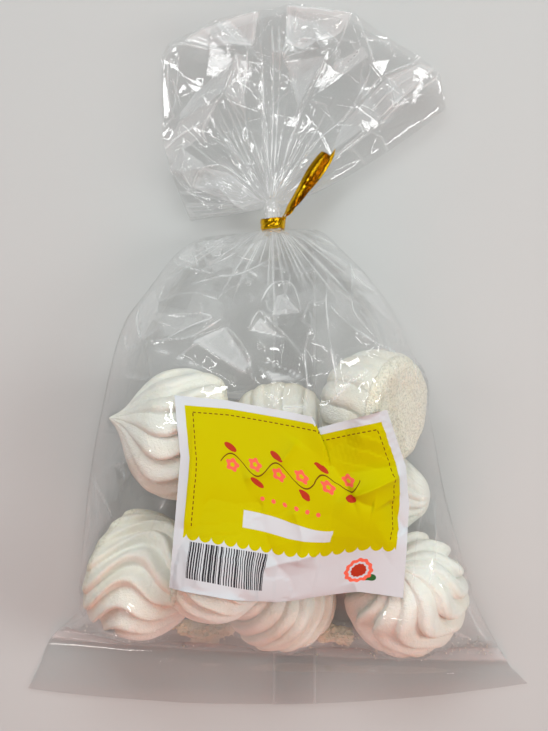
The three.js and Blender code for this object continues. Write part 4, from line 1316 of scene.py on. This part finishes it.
# Shares of the height down the fold, and the shares of the print's height that are drawn to them.
FOLD_DOWN, FOLD_PRINT = (0, 0.618, 0.737, 1), (0, 0.5525, 0.7225, 1)
# Soft creases of the paper: height, then the points of the curve.
LABEL_CREASES = (
    (-1.3, (19, -43), (24, -43), (27, -50), (30, -57)), (1.5, (30, -57), (36, -55), (43, -52), (50, -49)),
    (-1.0, (24, -43), (33, -46), (42, -45), (49, -43)), (-0.8, (30, -57), (35, -60), (39, -61)),
    (-0.7, (24, -41), (31, -36), (38, -28)), (-1.1, (-10, -66), (-4, -78), (1, -88), (4, -100)),
    (0.9, (-6, -86), (4, -84), (16, -81)), (0.8, (-34, -26), (-35, -48), (-38, -70)),
    (-1.0, (45, -59), (49, -66), (53, -72)), (0.6, (31, -92), (33, -98), (33, -103)),
    (0.9, (8, -34), (0, -44), (-14, -50)), (-0.8, (-30, -60), (-18, -63), (-6, -60)),
    (0.8, (6, -62), (10, -74), (8, -86)), (-0.7, (-38, -76), (-26, -72), (-16, -76)),
)


def label_surface(skin, peaks, rows, columns):
    """Grid of the label's paper, resting on the film's mean height clear of its peaks, and its flat place.

    Each panel is blended between its edges in plan: the left one from the left edge to the fold line, the
    right one from a line hidden under the left panel to the right edge. The hidden width runs out down the
    label.
    """
    b = np.linspace(0, 1, rows)[:, None]
    left = polyline(LABEL_LEFT, b[:, 0])[:, None]
    right = polyline(LABEL_RIGHT, b[:, 0])[:, None]
    reach = np.clip(1 - b / TUCK_LENGTH, 0, 1) ** 0.8
    fold = spline(LABEL_FOLD, b)
    under = fold - reach[..., None] * np.array(TUCK) + (1 - reach[..., None]) * np.array((1.0, 0.0))
    split, turn = int(columns * LEFT_SHARE), TURN_COLUMNS
    panels = []
    for start, end, top, first, last, count in (
        (left, fold, LABEL_TOP, 0.0, LEFT_SHARE, split),
        (under, right, LABEL_TOP_RIGHT, LEFT_SHARE + 0.012, 1.0, columns - split),
    ):
        t = np.linspace(0, 1, count)
        a = t[None, :, None]
        edge_top = polyline(top, t)[None]
        edge_top = edge_top + (start[:1] - edge_top[:, :1]) * (1 - a)
        edge_bottom = polyline(LABEL_BOTTOM, first + (last - first) * t)[None]
        ruled = start * (1 - a) + end * a
        to_top, to_bottom = edge_top - ruled[:1], edge_bottom - ruled[-1:]
        panels.append(ruled + to_top * (1 - b[..., None]) + to_bottom * b[..., None])
    a = np.linspace(0, 1, turn + 2)[None, 1:-1, None]
    panels.insert(1, panels[0][:, -1:] * (1 - a) + panels[1][:, :1] * a)
    plan = np.concatenate(panels, axis=1)
    x, y = plan[..., 0], plan[..., 1]
    depth = np.concatenate([np.zeros(split), np.linspace(0, 1, turn), np.ones(columns - split)])[None, :]
    z = blurred(sample_map(skin, x, y), SPAN_PASSES) + PAPER_LIFT
    z = z + 2.1 * creases(x, y, LABEL_CREASES, 3.4)[0] + 0.7 * crumple(x, y, LABEL_AREA, 14.0, 71)
    z = z + SWELL * np.exp(-(((x - SWELL_X) / SWELL_SPREAD) ** 2) - ((y - SWELL_Y) / SWELL_SPREAD) ** 2)
    past = np.clip((x - under[..., 0]) / 14, 0, 1)
    z = z - 0.8 * depth * smooth(0, 0.25, reach) * (1 - smooth(0, 1, past))
    lip = hump(x - fold[..., 0], 6.0) * (1 - depth)
    z = z + 1.3 * lip * smooth(0, 0.6, reach)
    z = np.maximum(z, sample_map(peaks, x, y) + 0.3 + 0.5 * (1 - depth) * smooth(0, 0.25, reach))
    steps = np.hypot(np.hypot(np.diff(x), np.diff(y)), np.diff(z))
    steps[:, split - 1 : split + turn] *= reach <= 0
    run = np.concatenate([np.zeros((rows, 1)), np.cumsum(steps, axis=1)], axis=1)
    even = run * PAPER["width"] / run[:, -1:]
    tucked = run * (1 - depth) + (PAPER["width"] - run[:, -1:] + run) * depth
    blend = smooth(0, 0.5, reach)
    flat_x = tucked * blend + even * (1 - blend)
    share = flat_x / PAPER["width"]
    sunk = 4 * SAG * share * b * (1 - b)
    near_fold = hump(share - FOLD_SHARE, FOLD_SPREAD)
    pinched = np.interp(b, FOLD_DOWN, FOLD_PRINT)
    flat_y = PAPER["height"] * (b + (pinched - b) * near_fold - sunk)
    return joined(x, y, z), flat_x, flat_y


# --- Twist tie -----------------------------------------------------------------------------------


# Ends of the tie: name, points of the path, widths along it, turn in half turns, depth of the fold along
# the middle and how strongly painted shade darkens the foil.
TIE_ENDS = (
    ("tie_end_front",
     ((1.9, 60.6, 18.4), (3.9, 63.6, 20.0), (7.4, 67.8, 21.4), (11.1, 73.3, 22.4), (15.2, 80.0, 22.6),
      (19.2, 85.8, 22.2), (21.0, 88.6, 21.8)), (2.0, 4.0, 5.0, 5.6, 6.2, 5.8, 4.6), 0.6, 1.3, 0.95),
    ("tie_end_back",
     ((2.4, 60.2, 17.4), (5.4, 63.8, 19.2), (11.0, 70.6, 20.4), (17.2, 78.4, 20.8), (22.6, 86.0, 20.6),
      (25.0, 90.4, 20.2)), (1.8, 2.4, 3.0, 3.2, 2.4, 0.3), 2.2, 0.4, 0.1),
)
WRAP_STEPS, END_STEPS = 150, 110
WRAP_START, WRAP_TURNS = 0.10, 2.05  # in turns round the neck, from its top
WRAP_Y, WRAP_STEP = 57.2, 2.1  # where the first turn lies, and how far along the neck the second one is
WRAP_THICK, END_THICK = 0.5, 0.3
BAND_ANGLES = ring_angles(BAND_SIDES)
BAND_PLACE = np.cos(BAND_ANGLES)[None, :]  # across the band, from −1 at one edge to 1 at the other


def band_surface(path, wide, width, thick, crease):
    """A flat band along a path: an oval section whose long axis follows `wide`, folded along its middle."""
    ahead = np.gradient(path, axis=0)
    ahead /= np.linalg.norm(ahead, axis=1, keepdims=True)
    wide = wide - ahead * np.sum(wide * ahead, axis=1, keepdims=True)
    wide /= np.linalg.norm(wide, axis=1, keepdims=True)
    out = np.cross(ahead, wide)
    across, through = BAND_PLACE[..., None], np.sin(BAND_ANGLES)[None, :, None]
    width, crease = width[:, None, None], crease[:, None, None]
    wire = 0.35 * hump(across, 0.22) * np.sign(through)
    lift = through * thick / 2 + wire + crease * (np.abs(across) - 0.5)
    return path[:, None] + wide[:, None] * across * width / 2 + out[:, None] * lift


def band_faces(steps):
    """Faces round a band of so many steps, and one over each end."""
    ends = [np.arange(BAND_SIDES)[::-1][None], ((steps - 1) * BAND_SIDES + np.arange(BAND_SIDES))[None]]
    return [grid_faces(steps, BAND_SIDES, wrap=True), *ends]


# --- Settings ------------------------------------------------------------------------------------


def colour_setting(name, description, default):
    return FloatVectorProperty(name=name, description=description, subtype="COLOR", default=default)


def share_setting(name, description, default):
    return FloatProperty(name=name, description=description, default=default, min=0, max=1)


def length_setting(name, description, default):
    return FloatProperty(name=name, description=description, default=default, unit="LENGTH")


class FilmSettings(bpy.types.PropertyGroup):
    clearance: length_setting("Clearance", "Least room between the film and a cookie", 0.0006)
    slack: FloatProperty(name="Slack", description="Lift of the free film a pass, in mm", default=0.0008)
    reflectance: share_setting("Reflectance", "Share of light mirrored head on", 0.08)
    roughness: share_setting("Roughness", "Blur of the film's gloss", 0.05)
    haze: share_setting("Haze", "Share of light scattered by the film", 0.03)


class CookieSettings(bpy.types.PropertyGroup):
    sides: IntProperty(name="Sides", description="Points round a cookie", default=252, min=42)
    rings: IntProperty(name="Rings", description="Points from base to tip", default=96, min=16)
    light: colour_setting("Meringue", "Colour of the meringue", (0.86, 0.865, 0.81))
    dark: colour_setting("Cream tone", "Colour of its darker patches", (0.83, 0.80, 0.72))
    # Toasted colour of the base, also laid on the foot of the sides as partly painted warm shade.
    toast_and_foot_shade: colour_setting("Toasted", "Colour of its base", (0.88, 0.83, 0.68))
    crumb: colour_setting("Crumb", "Colour of the broken crumb", (1.0, 0.90, 0.58))


class LabelSettings(bpy.types.PropertyGroup):
    paper: colour_setting("Paper", "Bare paper", (0.57, 0.585, 0.62))
    yellow: colour_setting("Yellow", "Main field", (0.50, 0.44, 0.0))
    brown: colour_setting("Brown", "Stitched line", (0.15, 0.05, 0.006))
    red: colour_setting("Red", "Leaves", (0.42, 0.035, 0.015))
    green: colour_setting("Green", "Sprig", (0.03, 0.12, 0.035))
    coral: colour_setting("Coral", "Blossoms and dots", (0.80, 0.13, 0.08))
    black: colour_setting("Black", "Bars", (0.03, 0.03, 0.035))


class TieSettings(bpy.types.PropertyGroup):
    width: length_setting("Width", "Width of the band", 0.0029)
    gold: colour_setting("Gold", "Colour of the foil", (0.97, 0.56, 0.012))
    # The darker colour paints shade in the foil's hollows and on the shaded side of its ends.
    amber_shade: colour_setting("Amber", "Colour of its hollows", (0.40, 0.13, 0.002))


class StudioSettings(bpy.types.PropertyGroup):
    floor: colour_setting("Floor", "Floor colour", (0.50, 0.505, 0.505))
    ambient: colour_setting("Surroundings", "Colour of the light from all round", (1.0, 0.88, 0.83))
    ambience: share_setting("Ambience", "Strength of that light", 0.13)
    height: length_setting("Camera height", "Over the floor", 0.7)


# --- Operators -----------------------------------------------------------------------------------

_shared = {}  # clouds and grids that several operators use, kept once they are worked out


def cookie_clouds():
    """Points of every cookie, worked out once."""
    if "cookies" not in _shared:
        settings = bpy.context.scene.meringue_cookies
        _shared["cookies"] = {c[0]: cookie_surface(c, settings.sides, settings.rings) for c in COOKIES}
    return _shared["cookies"]


def crumb_clouds():
    """Points of every lump of crumb, worked out once."""
    if "crumbs" not in _shared:
        _shared["crumbs"] = [crumb_surface(c) for c in CRUMBS]
    return _shared["crumbs"]


def skin_grids():
    """Front and back grids of the bag's film and the front's whiteness, haze with painted highlights and
    reflections, worked out once over the food.
    """
    if "skin" not in _shared:
        settings = bpy.context.scene.meringue_film
        food = np.concatenate([s.reshape(-1, 3) for s in (*cookie_clouds().values(), *crumb_clouds())])
        hold = highest_map(food) + settings.clearance / MM
        hold = np.where(hold > 1.0, hold, 0.0)  # nothing there but the clearance
        lowest = -highest_map(food * (1, 1, -1), -400.0)  # far overhead where there is no food
        # haze here is the front's whiteness: real haze with painted highlights and painted reflections.
        front, haze = front_skin(hold, BODY_ROWS, BODY_COLUMNS, settings.slack)
        back = back_skin(lowest, BODY_ROWS, BACK_COLUMNS)
        back[:, 0], back[:, -1] = front[:, 0], front[:, -1]
        _shared["skin"] = (front, back, haze)
    return _shared["skin"]


class MERINGUE_OT_cookies(bpy.types.Operator):
    """Pipes the eight meringue cookies, each a mesh of its own"""

    bl_idname = "meringue.cookies"
    bl_label = "Cookies"

    def execute(self, context):
        settings = context.scene.meringue_cookies
        material = meringue_material("meringue", settings.light, settings.dark, settings.toast_and_foot_shade, 0.35)
        faces = cookie_faces(settings.sides, settings.rings)
        for name, surface in cookie_clouds().items():
            points = cookie_points(surface)
            piece = make_piece("meringue_" + name, points, faces, material, "bag")
            keep_field(piece, "toast_and_foot_shade", cookie_toast_and_foot_shade(name, settings.sides, settings.rings))
        return {"FINISHED"}


class MERINGUE_OT_crumbs(bpy.types.Operator):
    """Drops broken crumbs and sugar grains at the foot of the bag"""

    bl_idname = "meringue.crumbs"
    bl_label = "Crumbs"

    def execute(self, context):
        settings = context.scene.meringue_cookies
        material = meringue_material("meringue_crumb", settings.crumb, settings.toast_and_foot_shade, settings.light, 0.6)
        lumps = crumb_clouds()
        rings, sides = lumps[0].shape[:2]
        points = np.stack([cookie_points(lump) for lump in lumps])
        firsts = np.arange(len(lumps))[:, None, None] * points.shape[1]
        faces = [(part + firsts).reshape(-1, part.shape[1]) for part in cookie_faces(sides, rings)]
        make_piece("crumbs", points, faces, material, "bag")
        sugar = meringue_material("meringue_sugar", settings.light, settings.toast_and_foot_shade, settings.light, 0.6)
        points, faces = sugar_grains(SUGAR_GRAINS)
        make_piece("sugar_grains", points, [faces], sugar, "bag")
        return {"FINISHED"}


class MERINGUE_OT_film(bpy.types.Operator):
    """Stretches the clear film over the cookies and gathers its mouth above the tie"""

    bl_idname = "meringue.film"
    bl_label = "Clear film"

    def execute(self, context):
        material = film_material(context.scene.meringue_film)
        front, back, haze = skin_grids()
        body = around(front, back)
        tube = neck_rows(body, NECK_ROWS)
        body_haze_and_glare = np.pad(haze, ((len(tube), 0), (0, back.shape[1] - 2)), mode="edge")
        # Painted reflection on a pane of the back film; the back columns also take the edge's real haze.
        behind = np.pad(panes(back[..., 0], back[..., 1], BACK_GLARE_PANES), ((len(tube), 0), (0, 0)))[:, -2:0:-1]
        body_haze_and_glare[:, haze.shape[1] :] = np.maximum(np.clip(body_haze_and_glare[:, :1], 0, 1) * 0.6, behind)

        upper, upper_haze_and_glare = mouth_skin(MOUTH_ROWS, MOUTH_COLUMNS, True)
        lower, lower_haze_and_glare = mouth_skin(MOUTH_ROWS, LOWER_COLUMNS, False)

        strip = seam_strip(back, *SEAM_EDGES)
        lap = np.zeros(strip.shape[:2])
        lap[:, 0] = lap[:, -1] = 0.3
        for name, grid, haze_and_glare, closed, turned in (
            ("film_body", np.concatenate([tube, body]), body_haze_and_glare, True, True),
            ("film_mouth", around(upper, lower), around(upper_haze_and_glare, lower_haze_and_glare * 0.6), True, False),
            ("film_seam", strip, lap, False, True),
        ):
            faces = grid_faces(*grid.shape[:2], wrap=closed)
            faces = faces[:, ::-1] if turned else faces
            piece = make_piece(name, grid, [faces], material, "bag")
            keep_field(piece, "haze_and_glare", haze_and_glare)
        return {"FINISHED"}


class MERINGUE_OT_label(bpy.types.Operator):
    """Lays the printed paper label on the front film"""

    bl_idname = "meringue.label"
    bl_label = "Label"

    def execute(self, context):
        film = skin_grids()[0].reshape(-1, 3)
        points, flat_x, flat_y = label_surface(mean_map(film), highest_map(film), LABEL_ROWS, LABEL_COLUMNS)
        material = label_material(context.scene.meringue_label)
        faces = grid_faces(*points.shape[:2])[:, ::-1]
        piece = make_piece("label_sheet", points, [faces], material, "label")
        layer = piece.data.uv_layers.new(name="paper")
        corner = np.empty(len(piece.data.loops), np.int32)
        piece.data.loops.foreach_get("vertex_index", corner)
        flat = np.stack([flat_x.ravel()[corner], flat_y.ravel()[corner]], axis=1) / PAPER["uv_unit"]
        layer.data.foreach_set("uv", flat.ravel())
        return {"FINISHED"}


class MERINGUE_OT_tie(bpy.types.Operator):
    """Winds the gold twist tie round the neck and twists its ends together"""

    bl_idname = "meringue.tie"
    bl_label = "Twist tie"

    def execute(self, context):
        settings = context.scene.meringue_tie
        material = foil_material(settings)
        width = settings.width / MM
        t = np.linspace(0, 1, WRAP_STEPS)
        turn = 2 * math.pi * (WRAP_START + WRAP_TURNS * t)
        radius = NECK_RADIUS + 0.7 + 0.35 * t
        rise = WRAP_Y + WRAP_STEP * smooth(0.4, 0.62, t) + 0.25 * np.sin(turn + 0.4)
        coil = np.stack([NECK_X + radius * np.sin(turn), rise, NECK_Z + radius * np.cos(turn)], axis=1)
        wide = np.stack([0.12 * np.sin(turn), np.ones(len(t)), 0.2 * np.cos(2 * turn)], axis=1)
        width = width * (1 + 0.1 * np.sin(3 * turn))
        band = band_surface(coil, wide, width, WRAP_THICK, 0.1 * np.sin(5 * turn))
        # Painted shade darkens the wraps towards both edges of the band.
        bands = [("tie_wraps", band, 0.05 + 0.55 * BAND_PLACE**4 + 0 * band[..., 0])]

        s = np.linspace(0, 1, END_STEPS)[:, None]
        # Painted shade on the ends: streaks along each end and its one side are darkened, while the other
        # side, the middle and the part by the coil stay bright gold.
        shade_streaks = 0.35 * np.sin(7 * BAND_PLACE + 5 * s) + 0.3 * np.sin(23 * s)
        lit_side = np.maximum(smooth(-0.4, 0.3, -BAND_PLACE), hump(BAND_PLACE, 0.25))
        for name, ends, widths, roll, fold, shade_share in TIE_ENDS:
            broad = spline(np.array(widths)[:, None], s[:, 0])[:, 0]
            twist = roll * math.pi * (1 - s[:, 0]) ** 4 + 0.2
            across = np.stack([0.8 * np.cos(twist), -0.6 * np.cos(twist), np.sin(twist)], axis=1)
            bend = fold * smooth(0.15, 0.5, s[:, 0])
            band = band_surface(spline(ends, s[:, 0]), across, broad, END_THICK, bend)
            bands.append((name, band, shade_share * (1 - 0.85 * lit_side) * smooth(0.0, 0.35, s) + 0.3 * shade_streaks))
        for name, band, amber_shade in bands:
            piece = make_piece(name, band, band_faces(len(band)), material, "twist_tie")
            keep_field(piece, "amber_shade", amber_shade)
        return {"FINISHED"}


class MERINGUE_OT_stage(bpy.types.Operator):
    """Sets the pale floor, the soft lamps and the camera that looks down on the bag"""

    bl_idname = "meringue.stage"
    bl_label = "Stage"

    def execute(self, context):
        scene = context.scene
        settings = scene.meringue_studio
        material, tree = new_material("studio_floor")
        finish_with(tree, put(tree, "ShaderNodeBsdfPrincipled", Base_Color=settings.floor, Roughness=0.8))
        mesh = bpy.data.meshes.new("floor")
        corners = ((-1, -1), (1, -1), (1, 1), (-1, 1))
        mesh.from_pydata([(x * FLOOR_HALF, y * FLOOR_HALF, FLOOR_Z) for x, y in corners], [], [(0, 1, 2, 3)])
        mesh.materials.append(material)
        floor = bpy.data.objects.new("floor", mesh)
        scene.collection.objects.link(floor)

        scene.world = bpy.data.worlds.new("studio")
        scene.world.use_nodes = True
        background = scene.world.node_tree.nodes["Background"].inputs
        background["Color"].default_value = (*settings.ambient, 1)
        background["Strength"].default_value = settings.ambience

        for name, place, size, radiance, colour, mirrored in LAMPS:
            lamp = bpy.data.lights.new(name, "AREA")
            lamp.shape = "RECTANGLE"
            lamp.size, lamp.size_y = size
            lamp.energy = radiance * math.pi * size[0] * size[1]
            lamp.color = colour
            holder = bpy.data.objects.new(name, lamp)
            holder.location = place
            aim = -holder.location.normalized()
            holder.rotation_euler = aim.to_track_quat("-Z", "Y").to_euler()
            holder.visible_glossy = mirrored
            lamp.spread = math.pi if mirrored or place[2] > 0.5 else NARROW_SPREAD
            scene.collection.objects.link(holder)

        camera = bpy.data.cameras.new("camera")
        camera.sensor_width = SENSOR
        camera.lens = SENSOR * FOCAL_PIXELS / FRAME_HEIGHT
        holder = bpy.data.objects.new("camera", camera)
        holder.location = (*CAMERA_OVER, settings.height)
        scene.collection.objects.link(holder)
        scene.camera = holder
        scene.view_settings.view_transform = "Standard"
        return {"FINISHED"}


# Name, place, size in metres, brightness, colour, and whether the film and the foil mirror it.
LAMPS = (
    ("soft_top", (-0.10, 0.80, 0.95), (0.90, 0.60), 4.5, (0.92, 1.0, 1.0), False),
    ("soft_left", (-0.50, 0.10, 0.60), (0.30, 0.40), 1.2, (0.93, 1.0, 1.0), False),
    ("soft_right", (0.95, -0.05, 0.75), (0.45, 0.60), 7.2, (0.95, 1.0, 0.97), False),
    ("soft_low", (0.0, -0.55, 0.28), (0.60, 0.20), 0.62, (1.0, 0.24, 0.14), False),
    ("soft_over", (0.0, 0.10, 1.25), (0.40, 0.40), 5.0, (1.0, 0.95, 0.88), False),
    ("strip_top", (0.10, 0.42, 0.62), (0.14, 0.035), 11.0, (1.0, 1.0, 1.0), True),
    ("strip_high", (-0.24, 0.36, 0.60), (0.12, 0.03), 11.0, (1.0, 1.0, 1.0), True),
    ("strip_far", (0.32, 0.30, 0.62), (0.03, 0.14), 11.0, (1.0, 1.0, 1.0), True),
    ("strip_left", (-0.40, 0.14, 0.62), (0.03, 0.30), 11.0, (1.0, 1.0, 1.0), True),
    ("strip_right", (0.40, 0.04, 0.62), (0.035, 0.40), 10.0, (1.0, 1.0, 1.0), True),
    ("strip_low", (-0.20, -0.44, 0.60), (0.12, 0.03), 9.0, (1.0, 0.97, 0.93), True),
    ("strip_corner", (-0.16, 0.30, 0.66), (0.04, 0.16), 12.0, (1.0, 1.0, 1.0), True),
)
NARROW_SPREAD = 1.1  # angle over which the low lamp shines, in radians
FLOOR_HALF, FLOOR_Z = 3.0, -0.0002
SENSOR = 36.0  # millimetres
FOCAL_PIXELS, FRAME_HEIGHT = 1560.2, 731  # focal length in pixels, in a frame of this height
CAMERA_OVER = (-0.0016, -0.0037)  # plan point under the camera


class MERINGUE_PT_panel(bpy.types.Panel):
    """Lists the pieces of the bag in the sidebar"""

    bl_idname = "MERINGUE_PT_panel"
    bl_label = "Bag of Meringues"
    bl_space_type = "VIEW_3D"
    bl_region_type = "UI"
    bl_category = "Meringues"

    def draw(self, context):
        for operator in STEPS:
            self.layout.operator(operator.bl_idname)


STEPS = (
    MERINGUE_OT_cookies, MERINGUE_OT_crumbs, MERINGUE_OT_film,
    MERINGUE_OT_label, MERINGUE_OT_tie, MERINGUE_OT_stage,
)
SETTINGS = {
    "meringue_film": FilmSettings,
    "meringue_cookies": CookieSettings,
    "meringue_label": LabelSettings,
    "meringue_tie": TieSettings,
    "meringue_studio": StudioSettings,
}


def register():
    for cls in (*SETTINGS.values(), *STEPS, MERINGUE_PT_panel):
        bpy.utils.register_class(cls)
    for name, cls in SETTINGS.items():
        setattr(bpy.types.Scene, name, PointerProperty(type=cls))


def unregister():
    for name in SETTINGS:
        delattr(bpy.types.Scene, name)
    for cls in (MERINGUE_PT_panel, *reversed(STEPS), *SETTINGS.values()):
        bpy.utils.unregister_class(cls)


def main():
    register()
    bpy.ops.meringue.cookies()
    bpy.ops.meringue.crumbs()
    bpy.ops.meringue.film()
    bpy.ops.meringue.label()
    bpy.ops.meringue.tie()
    bpy.ops.meringue.stage()


if __name__ == "__main__":
    main()
